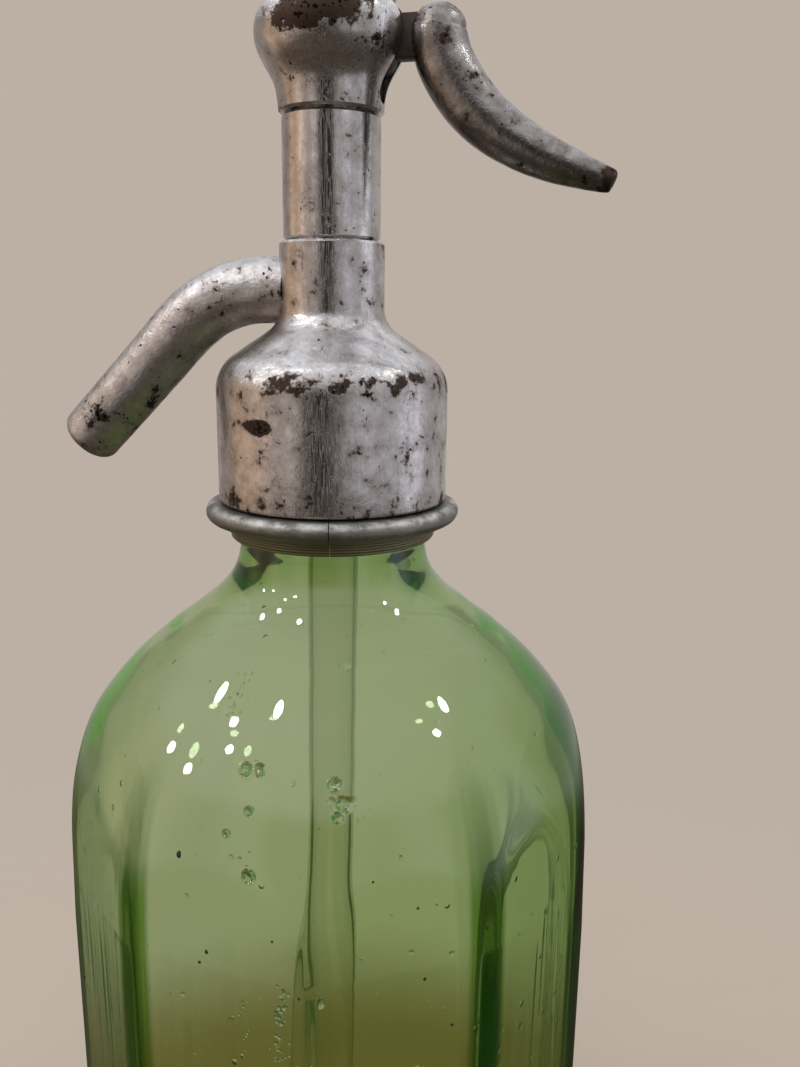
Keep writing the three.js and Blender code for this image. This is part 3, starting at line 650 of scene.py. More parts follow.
def shaped(made, kind, **settings):
    """Works a piece with a modifier and keeps the mesh that comes of it."""
    tool = made.modifiers.new("tool", kind)
    for name, value in settings.items():
        setattr(tool, name, value)
    bpy.context.view_layer.update()
    whole = made.evaluated_get(bpy.context.evaluated_depsgraph_get())
    shape = bpy.data.meshes.new_from_object(whole)
    made.modifiers.clear()
    made.data = shape


def cut(made, *cutters):
    """Cuts other closed pieces out of one and deletes them."""
    for cutter in cutters:
        shaped(made, "BOOLEAN", operation="DIFFERENCE", solver="EXACT", object=cutter)
        bpy.data.objects.remove(cutter)
    tidy(made)


def rod_between(name, start, end, radius, steps=48):
    """A round bar between two points, for cutting bores."""
    start, end = Vector(start), Vector(end)
    along = (end - start).normalized()
    side = along.orthogonal().normalized()
    other = along.cross(side)
    points = []
    for centre in (start, end):
        for i in range(steps):
            turn = 2 * pi * i / steps
            points.append(centre + (side * cos(turn) + other * sin(turn)) * radius)
    faces = [(i, (i + 1) % steps, steps + (i + 1) % steps, steps + i) for i in range(steps)]
    faces += [tuple(range(steps)), tuple(range(steps, 2 * steps))]
    return piece(name, points, faces)


def worn_nickel(name, marks=(), stain_low=0.6, pit_low=0.7, cast=0.0, lines=(0.25, 0.25, 6),
                shades=("#dbdad9", "#c4c0bd", "#aaa39f")):
    """Old nickel plate on brass: silvery and softly waved, with fine scratches, black pits, and
    brown-black patches where the plate has gone. Marks are (centre, radii, strength) in mm.
    """
    made, tree, shader, place = finish_named(name)
    broad, stain, grit, fine = [
        add(tree, "TexNoise", [place, 1 / (size * mm), detail, roughness])
        for size, detail, roughness in ((8, 2, 0.5), (3.6, 9, 0.66), (0.85, 5, 0.6), (0.4, 2, 0.5))
    ]
    marked = stain
    for centre, radii, strength in marks:
        shift = add(tree, "VectorMath", [place, [c * mm for c in centre]], operation="SUBTRACT")
        scaled = add(tree, "VectorMath", [shift, [r * mm for r in radii]], operation="DIVIDE")
        far = add(tree, "VectorMath", [scaled], operation="LENGTH")
        near = add(tree, "MapRange", [far.outputs["Value"], 0.25, 1, strength, 0], **soft)
        marked = add(tree, "Math", [marked, near], operation="ADD")
    wear = add(tree, "MapRange", [marked, stain_low, stain_low + 0.07], **soft)
    haze = add(tree, "MapRange", [marked, stain_low - 0.22, stain_low + 0.02])
    peppered = add(tree, "Math", [marked, 0.35, grit], operation="MULTIPLY_ADD")
    pits = add(tree, "MapRange", [peppered, pit_low + 0.13, pit_low + 0.17], **soft)
    long = add(tree, "Mapping", {
        "Vector": place, "Rotation": (0.2, 0.35, 0.1), "Scale": [1 / (size * mm) for size in lines],
    })
    streaks = add(tree, "TexNoise", [long, 1, 2])
    offset = add(tree, "Math", [streaks, 0.5], operation="SUBTRACT")
    apart = add(tree, "Math", [offset], operation="ABSOLUTE")
    scratch = add(tree, "MapRange", [apart, 0.004, 0.02, 1, 0])
    colour = add(tree, "Mix", [broad, shades[0], shades[1]], **rgba)
    bare = add(tree, "Mix", [grit, "#2c2520", "#57483d"], **rgba)
    for share, coat in ((haze, shades[2]), (wear, bare), (pits, "#1d1a18")):
        colour = add(tree, "Mix", [share, colour, coat], **rgba)
    rough = 0.15 + cast * 0.15
    for share, dulling in ((wear, 0.25), (haze, 0.12), (pits, 0.3)):
        rough = add(tree, "Math", [share, dulling, rough], operation="MULTIPLY_ADD")
    under = {}
    for lump, depth, sunk in (
        (broad, 0.14, False), (grit, 0.02 + 0.1 * cast, False), (fine, 0.012 + 0.02 * cast, False),
        (wear, 0.03, True), (pits, 0.07, True), (scratch, 0.006, True),
    ):
        skin = add(tree, "Bump", {"Height": lump, "Distance": depth * mm, **under}, invert=sunk)
        under = {"Normal": skin}
    settle(tree, shader, Base_Color=colour, Metallic=1.0, Roughness=rough, Normal=skin)
    return made


head_marks = (
    ((0, 0, 231.8), (90, 90, 3.8), 0.11),
    ((-6.8, -20.2, 224.8), (4.6, 4.6, 1.9), 0.4),
    ((0, 0, 211), (90, 90, 2.6), 0.08),
)
head = lathe("dressed_head_body", bell_outline(), 160, dented(0.16 * mm, 7 * mm))
bore_start = (-head_neck_radius - 2 * mm, 0, spout_height)
cut(head, rod_between("bore", bore_start, (0, 0, spout_height), spout_bore))
head_finish = worn_nickel("nickel plate on a brass casting, scratched", head_marks, cast=0.25)
dress(head, "root", "nickel", head_finish, "head_body")

# Spout: a cast tube soldered to the neck, bent down and left rough from the sand. Its end is
# rounded, and water leaves through a plain bore.
spout_root_radius = 6.1 * mm
spout_tip_radius = 5.75 * mm
spout_bend_start = 12.2 * mm
spout_bend_radius = 24 * mm
spout_bend_angle = radians(45)
spout_straight = 31.6 * mm
spout_edge = 2.2 * mm
spout_root = 7.6 * mm


def spout_point(along):
    """Where the spout's middle line is at a distance from the axis, and its heading."""
    bend = spout_bend_radius * spout_bend_angle
    turned = min(max(along - spout_bend_start, 0), bend)
    turn = turned / spout_bend_radius
    rest = max(along - spout_bend_start - bend, 0)
    out = min(along, spout_bend_start) + spout_bend_radius * sin(turn) + rest * cos(turn)
    drop = spout_bend_radius * (1 - cos(turn)) + rest * sin(turn)
    return Vector((-out, 0, spout_height - drop)), Vector((sin(turn), 0, -cos(turn)))


def loft(name, rings, closed=False):
    """A skin over rings of points, closed at both ends or joined end to end."""
    sides = len(rings[0])
    points = [p for ring in rings for p in ring]
    faces = []
    for i in range(len(rings) if closed else len(rings) - 1):
        a, b = i * sides, ((i + 1) % len(rings)) * sides
        for j in range(sides):
            k = (j + 1) % sides
            faces.append((a + j, b + j, b + k, a + k))
    if not closed:
        faces += [tuple(range(sides)), tuple(range(len(points) - sides, len(points)))]
    return piece(name, points, faces)


def spout_mesh():
    length = spout_bend_start + spout_bend_radius * spout_bend_angle + spout_straight
    sides = 56
    turns = [2 * pi * i / sides for i in range(sides)]
    ways = [(Vector((0, cos(turn), 0)), -sin(turn)) for turn in turns]
    skin = [spout_root + (length - spout_edge - spout_root) * i / 60 for i in range(61)]
    walk = [(d, 1.0) for d in skin]
    lip = [radians(t) for t in range(15, 91, 15)]
    walk += [(length - spout_edge * (1 - sin(t)), cos(t)) for t in lip]
    rings = []
    for along, round_off in walk:
        centre, up = spout_point(along)
        radius = spout_root_radius + (spout_tip_radius - spout_root_radius) * along / length
        radius -= spout_edge * (1 - round_off)
        ring = []
        for aside, rise in ways:
            way = aside + up * rise
            spot = centre + way * radius
            lump = noise.noise(spot / (5 * mm)) * 0.5 + noise.noise(spot / (2 * mm)) * 0.25
            ring.append(spot - way * 0.22 * mm * max(lump + 0.2, 0))
        rings.append(ring)
    for along in [length] + skin[::-4]:
        centre, up = spout_point(along)
        bore = spout_bore + (0.4 * mm if along == length else 0)
        rings.append([centre + (aside + up * rise) * bore for aside, rise in ways])
    return loft("dressed_spout", rings, closed=True)


spout_marks = (((-42, 0, 226), (26, 30, 9), 0.05), ((-52, 0, 217), (6, 12, 7), 0.07))
spout_finish = worn_nickel("nickel plate on a rough casting", spout_marks, pit_low=0.69, cast=1.0,
                           lines=(0.5, 0.5, 2))
dress(spout_mesh(), "root", "nickel", spout_finish, "spout")

# Valve barrel: a brass sleeve turned smooth and plated. It screws into the neck, and a dark hair
# seam shows at either end.
barrel_radius = 8.66 * mm
barrel_low, barrel_high = 256.3 * mm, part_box("valve_barrel")[1].z
barrel_thread_radius = 6.9 * mm
barrel_bore = 5.8 * mm
barrel_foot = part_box("valve_barrel")[0].z
rod_hole = 2.3 * mm
gland_floor = 254.3 * mm
housing_socket = 273 * mm


def barrel_outline():
    high = barrel_high - barrel_low
    return [
        (rod_hole, barrel_foot), (barrel_thread_radius, barrel_foot),
        (barrel_thread_radius, barrel_low), (barrel_radius - seam_cut, barrel_low),
        (barrel_radius, barrel_low + seam_cut),
        *[(barrel_radius, barrel_low + high * share) for share in (0.2, 0.4, 0.6, 0.8)],
        (barrel_radius, barrel_high - seam_cut), (barrel_radius - seam_cut, barrel_high),
        (socket_radius, barrel_high), (socket_radius, housing_socket),
        (barrel_bore, housing_socket), (barrel_bore, gland_floor), (rod_hole, gland_floor),
    ]


barrel_marks = (((2, -9, 259), (7, 4, 3.5), 0.07), ((-4, -8, 266), (3, 4, 6), 0.05))
barrel = lathe("dressed_valve_barrel", barrel_outline(), 128, dented(0.05 * mm, 5 * mm))
barrel_finish = worn_nickel("nickel plate on turned brass", barrel_marks, stain_low=0.64,
                            lines=(0.3, 0.3, 9))
dress(barrel, "root", "nickel", barrel_finish, "valve_barrel")

# Lever housing: the bulb, cast hollow, turned and plated, with an upright slot for the lever. Its
# front has a wide dark patch under the rim, partly plate that it has lost and partly a painted
# reflection.
bulb_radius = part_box("lever_housing")[1].y
bulb_foot_radius = 9.15 * mm
housing_foot = 277.1 * mm
housing_spigot, housing_top = (corner.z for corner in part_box("lever_housing"))
bulb_cavity = 5.6 * mm
bulb_floor = 1.9 * mm
slot_half = 2 * mm
slot_foot = housing_foot + 1.5 * mm
cap_socket = 290.4 * mm
cap_socket_radius = 8.6 * mm
bulb_shares = (
    (0, 1), (0.16, 0.95), (0.27, 0.83), (0.37, 0.62), (0.5, 0.29), (0.63, 0.06), (0.76, 0),
    (0.87, 0.08), (0.95, 0.25), (1, 0.42),
)


def housing_outline():
    wide, high = bulb_radius - bulb_foot_radius, housing_top - housing_foot
    skin = [(bulb_radius - wide * inset, housing_foot + high * rise) for rise, inset in bulb_shares]
    return [
        (rod_hole, housing_spigot), (barrel_thread_radius, housing_spigot),
        (barrel_thread_radius, housing_foot), (skin[0][0] - seam_cut, housing_foot),
        *smooth([(skin[0][0], housing_foot + seam_cut), *skin[1:]], 4),
        (cap_socket_radius, housing_top), (cap_socket_radius, cap_socket),
        (bulb_cavity, cap_socket), (bulb_cavity, housing_foot + bulb_floor),
        (rod_hole, housing_foot + bulb_floor),
    ]


def slab(name, low, high):
    """A block between two corners, for cutting slots."""
    corners = [(x, y, z) for x in (low[0], high[0]) for y in (low[1], high[1])
               for z in (low[2], high[2])]
    faces = [(0, 1, 3, 2), (4, 6, 7, 5), (0, 4, 5, 1), (2, 3, 7, 6), (0, 2, 6, 4), (1, 5, 7, 3)]
    return piece(name, corners, faces)


# The first mark, on the front under the rim, is partly worn plate and partly a painted reflection.
housing_marks = (
    ((2, -11.5, 290.4), (12, 7, 4.8), 0.3),
    ((0, 0, 278), (30, 30, 2), 0.06),
    ((11, -7, 287), (4, 5, 7), 0.07),
)
housing = lathe("dressed_lever_housing", housing_outline(), 144, dented(0.1 * mm, 6 * mm))
slot_reach = bulb_radius + 3 * mm
slot_low = slot_foot + slot_half
cut(housing,
    slab("slot", (0, -slot_half, slot_low), (slot_reach, slot_half, housing_top + 3 * mm)),
    rod_between("slot_end", (3 * mm, 0, slot_low), (slot_reach, 0, slot_low), slot_half))
housing_finish = worn_nickel("nickel plate on brass, worn and painted with a reflection", housing_marks)
dress(housing, "root", "nickel", housing_finish, "lever_housing")

# Top cap: a plated brass screw with a low dome and a coin slot. A red-brown fibre washer lies
# under it.
cap_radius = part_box("top_cap")[1].x
cap_thread_low, cap_top = (corner.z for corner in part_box("top_cap"))
cap_foot = 295.1 * mm
cap_shoulder = cap_foot + 4.2 * mm
cap_thread_radius = 8.3 * mm
cap_bore = 6.2 * mm
coin_half = 0.8 * mm
coin_depth = 1.1 * mm
fibre_layers = (2, 2, 0.15)


def cap_outline():
    rise = cap_top - cap_shoulder
    dome = (cap_radius**2 + rise**2) / (2 * rise)
    spread = math.degrees(math.asin(cap_radius / dome))
    inner = cap_shoulder - 2.1 * mm
    crown = arc((0, cap_top - dome), dome, 90 - spread + 2, 90, 14)[:-1]
    return [
        (0, inner), (cap_bore, inner), (cap_bore, cap_thread_low),
        (cap_thread_radius, cap_thread_low), (cap_thread_radius, cap_foot),
        (cap_radius - seam_cut, cap_foot), (cap_radius, cap_foot + seam_cut),
        (cap_radius, cap_shoulder - 0.3 * mm),
        *[(min(out, cap_radius - 0.05 * mm), height) for out, height in crown], (0, cap_top),
    ]


cap = lathe("dressed_top_cap", cap_outline(), 112)
cut(cap, slab("coin", (-cap_radius - mm, -coin_half, cap_top - coin_depth),
              (cap_radius + mm, coin_half, cap_top + mm)))
dress(cap, "root", "nickel", worn_nickel("nickel plate on a turned cap", stain_low=0.62), "top_cap")


def pressed_fibre(name):
    """Vulcanised fibre: red-brown, matt and faintly layered."""
    made, tree, shader, place = finish_named(name)
    layer = add(tree, "Mapping", {
        "Vector": place, "Scale": [1 / (size * mm) for size in fibre_layers],
    })
    grain = add(tree, "TexNoise", [layer, 1, 4])
    colour = add(tree, "Mix", [grain, "#4d281c", "#7c4630"], **rgba)
    skin = add(tree, "Bump", {"Height": grain, "Distance": 0.03 * mm})
    settle(tree, shader, Base_Color=colour, Roughness=0.75, Normal=skin)
    return made


cover(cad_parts["cap_washer"], pressed_fibre("vulcanised fibre, pressed"))

# Lever: a dark steel arm on a cross pin, with a horn cast round its outer end and plated. The arm's
# finger reaches into the yoke on the valve rod.
pivot = Vector((8.4 * mm, 0, 285.9 * mm))
pin_radius = 1.25 * mm
arm_half = 1.7 * mm
finger_radius = 1.5 * mm
bar_half = 0.9 * mm
hub_radius = 3.1 * mm
tongue_low, tongue_high = -0.6 * mm, 6.2 * mm
tongue_start, tongue_end = 0.5 * mm, 11.9 * mm
horn_root = Vector((18.8 * mm, 0, 288.7 * mm))
horn_run = 29.8 * mm
horn_fall = 27.5 * mm
horn_root_height = 9.4 * mm
horn_root_width = 9.2 * mm
horn_shares = (
    (0.014, -0.178, 0.22, 0.22), (0.012, -0.16, 0.52, 0.54), (0.008, -0.125, 0.77, 0.79),
    (0.004, -0.07, 0.93, 0.94), (0, 0, 1, 1), (0.03, 0.13, 1.02, 1), (0.1, 0.265, 1.02, 0.98),
    (0.195, 0.4, 1, 0.95), (0.32, 0.52, 0.95, 0.9), (0.46, 0.62, 0.87, 0.82),
    (0.61, 0.705, 0.76, 0.74), (0.76, 0.77, 0.64, 0.65), (0.9, 0.822, 0.5, 0.55),
    (0.97, 0.845, 0.42, 0.5), (0.993, 0.853, 0.35, 0.42), (1, 0.856, 0.2, 0.24),
)


def plate(name, outline, half, bevel):
    """A flat bar cut to an outline of (x, z), its edges broken by a small bevel."""
    points = [(x, y, z) for y in (-half, half) for x, z in outline]
    count = len(outline)
    faces = [tuple(range(count)), tuple(range(2 * count - 1, count - 1, -1))]
    faces += [(i, (i + 1) % count, count + (i + 1) % count, count + i) for i in range(count)]
    made = piece(name, points, faces)
    shaped(made, "BEVEL", width=bevel, segments=2)
    tidy(made)
    return made


def arm_mesh():
    lift = math.degrees(math.asin(bar_half / finger_radius))
    hub = math.degrees(math.asin(bar_half / hub_radius))
    low = math.degrees(math.asin(tongue_low / hub_radius))
    tongue_cut = 0.6 * mm
    outline = [
        *arc((-pivot.x, 0), finger_radius, lift, 360 - lift, 14),
        *arc((0, 0), hub_radius, 180 + hub, 360 + low, 14),
        (tongue_end - tongue_cut, tongue_low), (tongue_end, tongue_low + tongue_cut),
        (tongue_end, tongue_high - tongue_cut), (tongue_end - tongue_cut, tongue_high),
        (tongue_start + tongue_cut, tongue_high), (tongue_start, tongue_high - tongue_cut),
        *arc((0, 0), hub_radius, 80, 180 - hub, 8),
    ]
    outline = [(pivot.x + x, pivot.z + z) for x, z in outline]
    made = plate("dressed_lever_arm", outline, arm_half, 0.18 * mm)
    hole = Vector((0, 3 * arm_half, 0))
    cut(made, rod_between("pin_hole", pivot - hole, pivot + hole, pin_radius + 0.15 * mm))
    return made


def horn_mesh():
    rows = [
        (horn_root.x + horn_run * run, horn_root.z - horn_fall * fall, horn_root_height * high / 2,
         horn_root_width * wide / 2)
        for run, fall, high, wide in horn_shares
    ]
    rows = smooth(rows, 7)
    sides = 64
    rings = []
    for i, (x, z, high, wide) in enumerate(rows):
        back, on = rows[max(i - 1, 0)], rows[min(i + 1, len(rows) - 1)]
        heading = math.atan2(on[1] - back[1], on[0] - back[0])
        ring = []
        for j in range(sides):
            turn = 2 * pi * j / sides
            up = high * sin(turn)
            aside = wide * cos(turn)
            spot = Vector((x - up * sin(heading), aside, z + up * cos(heading)))
            lump = max(noise.noise(spot / (4 * mm)), 0)
            ring.append(spot.lerp(Vector((x, 0, z)), 0.025 * lump))
        rings.append(ring)
    made = loft("dressed_lever_handle", rings)
    reach = 0.12 * mm
    cut(made, slab("pocket", (pivot.x, -arm_half - reach, pivot.z + tongue_low - reach),
                   (pivot.x + tongue_end + reach, arm_half + reach, pivot.z + tongue_high + reach)))
    return made


def black_steel(name):
    """Wrought steel, blackened with old oil and rust-brown in its pores."""
    made, tree, shader, place = finish_named(name)
    patches = add(tree, "TexNoise", [place, 1 / (2.5 * mm), 6, 0.65])
    grit = add(tree, "TexNoise", [place, 1 / (0.5 * mm), 4])
    colour = add(tree, "Mix", [patches, "#241f1c", "#5b5049"], **rgba)
    dents = add(tree, "Bump", {"Height": patches, "Distance": 0.12 * mm})
    skin = add(tree, "Bump", {"Height": grit, "Distance": 0.05 * mm, "Normal": dents})
    settle(tree, shader, Base_Color=colour, Metallic=0.85, Roughness=0.52, Normal=skin)
    return made


horn_marks = (
    ((27, -3.5, 280.5), (8, 5, 3.5), 0.12),
    ((21, -4.5, 287), (1.8, 3, 3), 0.08),
    ((48, 0, 264.5), (4, 6, 4), 0.16),
)
steel = black_steel("wrought steel, blackened")
dress(arm_mesh(), "lever", "steel", steel, "lever_arm")
horn_finish = worn_nickel("nickel plate on a cast horn", horn_marks, cast=0.5, lines=(3, 0.5, 3),
                          shades=("#aaa6a2", "#8b8580", "#716963"))
dress(horn_mesh(), "lever", "nickel", horn_finish, "lever_handle")

# Valve parts: turned brass on the rod, with a steel spring, pin and screw beside them. They are
# shut inside the head, and only the lever's slot shows a glimpse of the yoke.
brass_nodes = (
    "valve_seat", "gland_nut", "disc_holder", "disc_screw", "valve_rod", "rod_yoke",
    "spring_collar",
)
steel_nodes = ("lever_pin", "valve_spring")


def turned_brass(name):
    """Turned brass: warm yellow with fine rings from the lathe and a brown bloom."""
    made, tree, shader, place = finish_named(name)
    bloom = add(tree, "TexNoise", [place, 1 / (4 * mm), 5])
    colour = add(tree, "Mix", [bloom, "#8a6a34", "#c4a160"], **rgba)
    height = add(tree, "SeparateXYZ", [place]).outputs["Z"]
    rings = add(tree, "TexNoise", [height, 1 / (0.25 * mm), 1], noise_dimensions="1D")
    skin = add(tree, "Bump", {"Height": rings, "Distance": 0.02 * mm})
    settle(tree, shader, Base_Color=colour, Metallic=1.0, Roughness=0.34, Normal=skin)
    return made


brass = turned_brass("brass, turned and toned")
for names, finish in ((brass_nodes, brass), (steel_nodes, steel)):
    for node_name in names:
        cover(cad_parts[node_name], finish)

# Grit, drops and blisters: specks of old dirt, small beads of water and the blisters that bubbles
# left in the glass. Each is seated on the outside of its panel, given by its turn round the axis,
# its height, its size and how long it is.
grit_places = (
    (-101.8, 161.5, 0.42, 1.3), (-97.7, 143.8, 0.26, 1), (-96.1, 146, 0.3, 1.2),
    (-83, 150.6, 0.2, 1), (-78.3, 141.5, 0.18, 1.5), (-145, 118.7, 0.3, 1),
    (-56.9, 154.3, 0.22, 1), (-55.4, 141.5, 0.24, 1.2), (-65.2, 159.8, 0.2, 1),
    (-49.9, 131.9, 0.25, 1),
)
water_index = 1.333
drop_places = ((-74.5, 140.5, 0.62, 1.7), (-39.7, 124.3, 0.55, 2.2), (-31.9, 123.9, 0.45, 1.6))
drop_trails = (
    (-81.7, 1.3, 118, 143.5, 75, 0.27), (-99, 3.5, 180, 186, 30, 0.16),
    (-88.5, 1.5, 128, 140, 14, 0.2),
)
blister_places = (
    (-71.9, 173.3, 1.2, 1), (-70.6, 170.9, 1, 1), (-72.6, 171.2, 0.8, 1.2), (-71.4, 169.2, 1, 1),
    (-69.2, 170.6, 0.9, 1), (-90.7, 174.5, 1, 1), (-88.9, 175.3, 0.7, 1), (-87.6, 174.3, 0.8, 1.1),
    (-92.4, 166.1, 0.6, 1), (-88.5, 169.6, 0.75, 1.2), (-87.5, 160.4, 1, 1.3),
    (-89.3, 163, 0.35, 1), (-67.5, 187, 0.4, 2), (-100, 155, 0.35, 1.4), (-60, 163, 0.3, 1.5),
)


def beads(name, places, flatness, roughness):
    """Flattened lumps seated on the glass, each a little different."""
    shape = bmesh.new()
    for turn, height, size, long in places:
        centre, out = on_glass(radians(turn), height * mm)
        side = Vector((0, 0, 1)).cross(out).normalized()
        down = out.cross(side)
        blob = bmesh.ops.create_icosphere(shape, subdivisions=2, radius=1)
        for vert in blob["verts"]:
            lump = size * mm * (1 + roughness * noise.noise(vert.co * 1.5 + centre * 900))
            x, y, z = vert.co * lump
            vert.co = centre + side * x + down * y * long + out * z * flatness
    mesh = bpy.data.meshes.new(name)
    shape.to_mesh(mesh)
    shape.free()
    made = placed(name, mesh)
    tidy(made)
    return made


def still_water(name):
    """Drops of soda water: clear and wet, their rims dark where they bend the light."""
    made, tree, shader, place = finish_named(name)
    ripple = add(tree, "TexNoise", [place, 1 / (0.6 * mm), 1])
    wet = add(tree, "Bump", {"Height": ripple, "Distance": 0.01 * mm})
    settle(tree, shader, Base_Color="#ffffff", Roughness=0.01, IOR=water_index,
           Transmission_Weight=1.0, Normal=wet)
    return made


random.seed(5)
drops = list(drop_places)
for middle, spread, low, high, count, size in drop_trails:
    for _ in range(count):
        turn, height = middle + random.gauss(0, spread / 2), random.uniform(low, high)
        drops.append((turn, height, size * random.uniform(0.5, 1.6), random.uniform(0.9, 1.3)))
dress(beads("glass_grit", grit_places, 0.5, 0.5), "root", "steel", steel)
dress(beads("glass_drops", drops, 0.6, 0.2), "root", "clear_glass", still_water("water, in beads"))
dress(beads("glass_blisters", blister_places, 0.22, 0.5), "root", "green_glass",
      pressed_glass("green soda-lime glass, blistered", "#e4ecd8", "#000000"))

# Room: a plain warm-grey wall and floor, soft light from above and small ceiling lamps that glint
# in the glass. Gloss shows a dark table and the bands of light and dark of a lived-in room. Rays
# that the glass bends far aside see the room's darker corners.
wall_colour = "#bcb0a5"
corner_colour = "#4a5630"
# Seen through the glass, the board close to the bottle is wood-coloured and darkened by a painted
# shadow.
wood_and_shadow_colour = "#846d45"
corner_start, corner_end = radians(22), radians(86)
corner_soft = radians(7)
inner_dark = 0.6
shade_near, shade_far = 0.22, 0.3
floor_radius = 0.55
floor_sides = 96
fade_near, fade_far = 0.15, 0.4
gloss_near, gloss_far = 0.25, 0.53
wood_shadow_near, wood_shadow_far = 0.105, 0.185
sky_strength = 0.62
room_bands = (
    (-180, "#9d9691"), (-135, "#7e7671"), (-118, "#807670"), (-105, "#c3a88c"), (-93, "#a58b73"),
    (-84, "#b59c88"), (-74, "#dfc7b4"), (-63, "#a89b95"), (-53, "#8c8583"), (-42, "#bbb2ad"),
    (-33, "#9d9591"), (-28, "#1b1512"), (1, "#1b1512"), (8, "#7e7a79"), (14, "#a19e9d"),
    (21, "#8d8a8b"), (29, "#b6b3b9"), (37, "#c0bec9"), (46, "#918e8b"), (56, "#a3a1a5"),
    (66, "#9b999c"), (76, "#d9dae6"), (92, "#d3d2db"), (104, "#8e888a"), (124, "#9b9797"),
    (150, "#99938f"),
)
gloss_strength = 1.5
ceiling_colour = "#d6d8df"
ceiling_edge = (0.3, 0.62)
table_colour = "#433b33"
table_edge = (-0.25, -0.5)
soft_place = Vector((0.1, -0.25, 1.1))
soft_aim = Vector((0, 0, 0.15))
soft_size = 0.8
soft_power = 6
lamps = (
    (-98, 49), (-79, 53), (-91, 30), (-77, 32), (-66, 46), (-51, 44), (-60, 66), (72, 49), (90, 50),
)
lamp_reach = 1.3
lamp_radius = 0.04
lamp_power = 2
lamp_aim = Vector((5, -35, 178)) * mm


def corners(tree, place, near, inner):
    """How dark the room seen through the glass is: light straight on, dark far aside where it is
    near, and half dark for rays that were reflected inside the glass.
    """
    ways = ((cos(camera_azimuth), sin(camera_azimuth), 0),
            (-sin(camera_azimuth), cos(camera_azimuth), 0))
    across, ahead = [
        add(tree, "VectorMath", [place, way], operation="DOT_PRODUCT").outputs["Value"]
        for way in ways
    ]
    wide = add(tree, "Math", [across], operation="ABSOLUTE")
    past = add(tree, "Math", [near, -ridge_radius, wide], operation="MULTIPLY_ADD")
    off = add(tree, "Math", [past, ahead], operation="ARCTAN2")
    begun = add(tree, "MapRange", [off, corner_start, corner_start + corner_soft], **soft)
    ended = add(tree, "MapRange", [off, corner_end, corner_end + corner_soft, 1, 0], **soft)
    direct = add(tree, "Math", [ended, near], operation="MULTIPLY")
    bent = add(tree, "Math", [inner, inner_dark], operation="MULTIPLY")
    lasting = add(tree, "Math", [direct, bent], operation="MAXIMUM")
    return add(tree, "Math", [begun, lasting], operation="MULTIPLY")


def bent_inside(tree, rays):
    """One for rays through the glass that were also reflected inside it."""
    both = [rays.outputs["Is Transmission Ray"], rays.outputs["Glossy Depth"]]
    return add(tree, "Math", both, operation="MULTIPLY", use_clamp=True)


def room_world():
    """Plain wall for the camera and through glass, soft light for matt things, bands for gloss."""
    world = bpy.data.worlds.new("room")
    bpy.context.scene.world = world
    world.use_nodes = True
    tree = world.node_tree
    tree.nodes.clear()
    rays = add(tree, "LightPath")
    way = add(tree, "TexCoord").outputs["Generated"]
    parts = add(tree, "SeparateXYZ", [way])
    height = parts.outputs["Z"]
    behind = add(tree, "Math", [parts.outputs["Y"], -1], operation="MULTIPLY")
    turn = add(tree, "Math", [parts.outputs["X"], behind], operation="ARCTAN2")
    dark = corners(tree, way, 0, bent_inside(tree, rays))
    share = add(tree, "MapRange", [turn, -pi, pi])
    bands = add(tree, "ValToRGB", [share])
    start = math.degrees(camera_azimuth) + 180
    turned = sorted(((degrees + start) % 360 / 360, code) for degrees, code in room_bands)
    stops = bands.color_ramp.elements
    stops.remove(stops[0])
    stops[0].position, stops[0].color = turned[0][0], linear(turned[0][1])
    for position, code in turned[1:]:
        stops.new(position).color = linear(code)
    high = add(tree, "MapRange", [height, *ceiling_edge], **soft)
    low = add(tree, "MapRange", [height, *table_edge], **soft)
    ceiled = add(tree, "Mix", [high, bands, ceiling_colour], **rgba)
    room = add(tree, "Mix", [low, ceiled, table_colour], **rgba)
    seen = add(tree, "Mix", [dark, wall_colour, corner_colour], **rgba)
    sights = (
        ("Is Glossy Ray", room, gloss_strength), ("Is Transmission Ray", seen, 1),
        ("Is Camera Ray", wall_colour, 1),
    )
    shown = add(tree, "Background", ["#f4f0ea", sky_strength])
    for kind, colour, strength in sights:
        sight = add(tree, "Background", [colour, strength])
        shown = add(tree, "MixShader", [rays.outputs[kind], shown, sight])
    add(tree, "OutputWorld", [shown])


def floor_mesh():
    turns = [2 * pi * i / floor_sides for i in range(floor_sides)]
    points = [(floor_radius * cos(t), floor_radius * sin(t), 0) for t in turns]
    mesh = bpy.data.meshes.new("floor")
    mesh.from_pydata(points, [], [tuple(range(floor_sides))])
    return placed("floor", mesh)


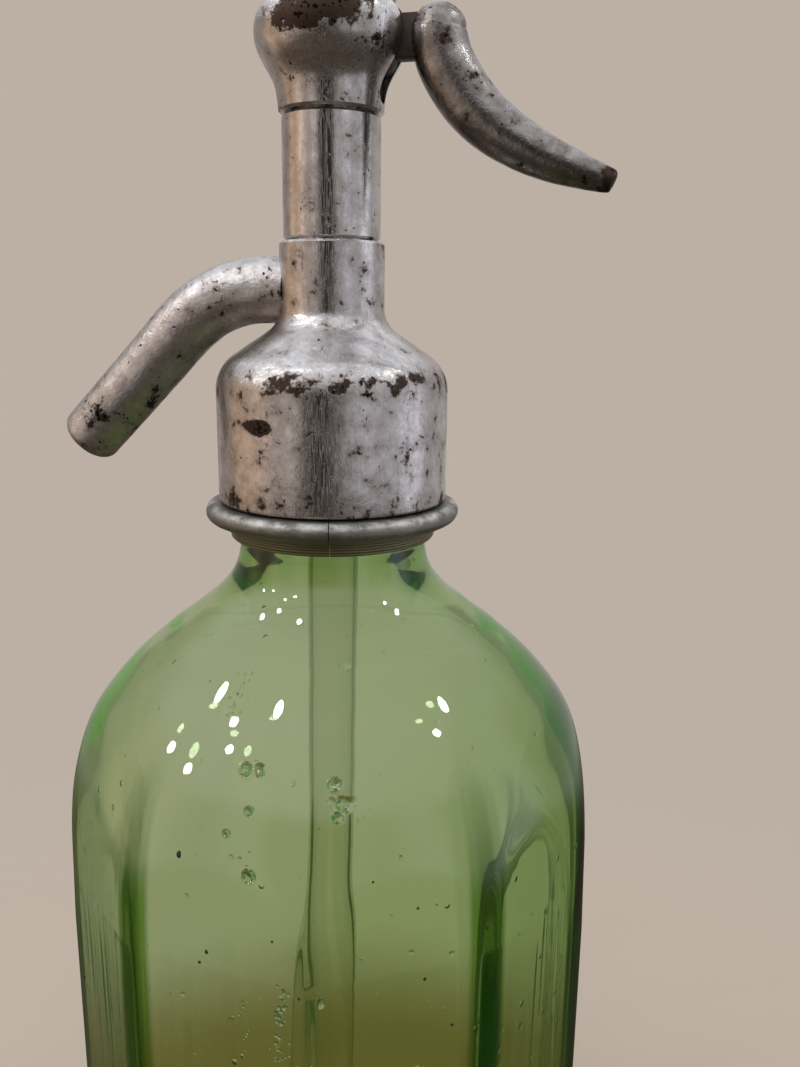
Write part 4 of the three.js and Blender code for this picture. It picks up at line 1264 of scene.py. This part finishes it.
def painted_board(name):
    """A matt board of the wall's colour that melts into the wall away from the siphon. Through the
    glass it is wood-coloured close to the bottle and darkened there by a painted shadow of the
    bottle, with a painted shade far aside of it, and in gloss it is a dark table that ends further
    out.
    """
    made, tree, shader, place = finish_named(name)
    rays = add(tree, "LightPath")
    out = add(tree, "VectorMath", [place], operation="LENGTH").outputs["Value"]
    ends = ((fade_near, fade_far, 0), (gloss_near, gloss_far, 0), (wood_shadow_near, wood_shadow_far, 1),
            (shade_near, shade_far, 1))
    fade, gone, near, shade = [
        add(tree, "MapRange", [out, start, end, first, 1 - first], **soft)
        for start, end, first in ends
    ]
    dark = corners(tree, place, shade, bent_inside(tree, rays))
    # Through the glass: wood colour close to the bottle, darker there as a painted shadow of the
    # bottle.
    warm = add(tree, "Mix", [near, wall_colour, wood_and_shadow_colour], **rgba)
    seen = add(tree, "Mix", [dark, warm, corner_colour], **rgba)
    glow = add(tree, "Emission", [wall_colour, 1])
    glass_sight = add(tree, "Emission", [seen, 1])
    table = add(tree, "Emission", [table_colour, gloss_strength])
    factor = add(tree, "Math", [fade, rays.outputs["Is Camera Ray"]], operation="MULTIPLY")
    settle(tree, shader, Base_Color=wall_colour, Roughness=0.9, Specular_IOR_Level=0.1)
    both = add(tree, "MixShader", [factor, shader, glow])
    bands = add(tree, "BsdfTransparent", ["#ffffff"])
    ending = add(tree, "MixShader", [gone, table, bands])
    mirrored = add(tree, "MixShader", [rays.outputs["Is Glossy Ray"], both, ending])
    shown = add(tree, "MixShader", [rays.outputs["Is Transmission Ray"], mirrored, glass_sight])
    bring_out(tree, shown, "Surface")
    return made


def soft_box(name):
    """A large soft lamp that faces the siphon and stays out of its reflections."""
    lamp = bpy.data.lights.new(name, "AREA")
    lamp.size = soft_size
    lamp.energy = soft_power
    made = placed(name, lamp)
    made.location = soft_place
    made.rotation_mode = "QUATERNION"
    made.rotation_quaternion = (soft_place - soft_aim).to_track_quat("Z", "Y")
    made.visible_glossy = False
    made.visible_transmission = False


def ceiling_lamp(name, azimuth, elevation):
    """A small bright lamp, placed by its azimuth from the camera and its elevation."""
    lamp = bpy.data.lights.new(name, "POINT")
    lamp.energy = lamp_power
    lamp.shadow_soft_size = lamp_radius
    turn, rise = radians(azimuth) + camera_azimuth, radians(elevation)
    placed(name, lamp).location = Vector((
        sin(turn) * cos(rise), -cos(turn) * cos(rise), sin(rise),
    )) * lamp_reach + lamp_aim


room_world()
floor = floor_mesh()
cover(floor, painted_board("matt board, painted"))
soft_box("soft_light_above")
for number, (azimuth, elevation) in enumerate(lamps):
    ceiling_lamp("ceiling_lamp_%d" % number, azimuth, elevation)
bpy.context.scene.view_settings.view_transform = "Standard"
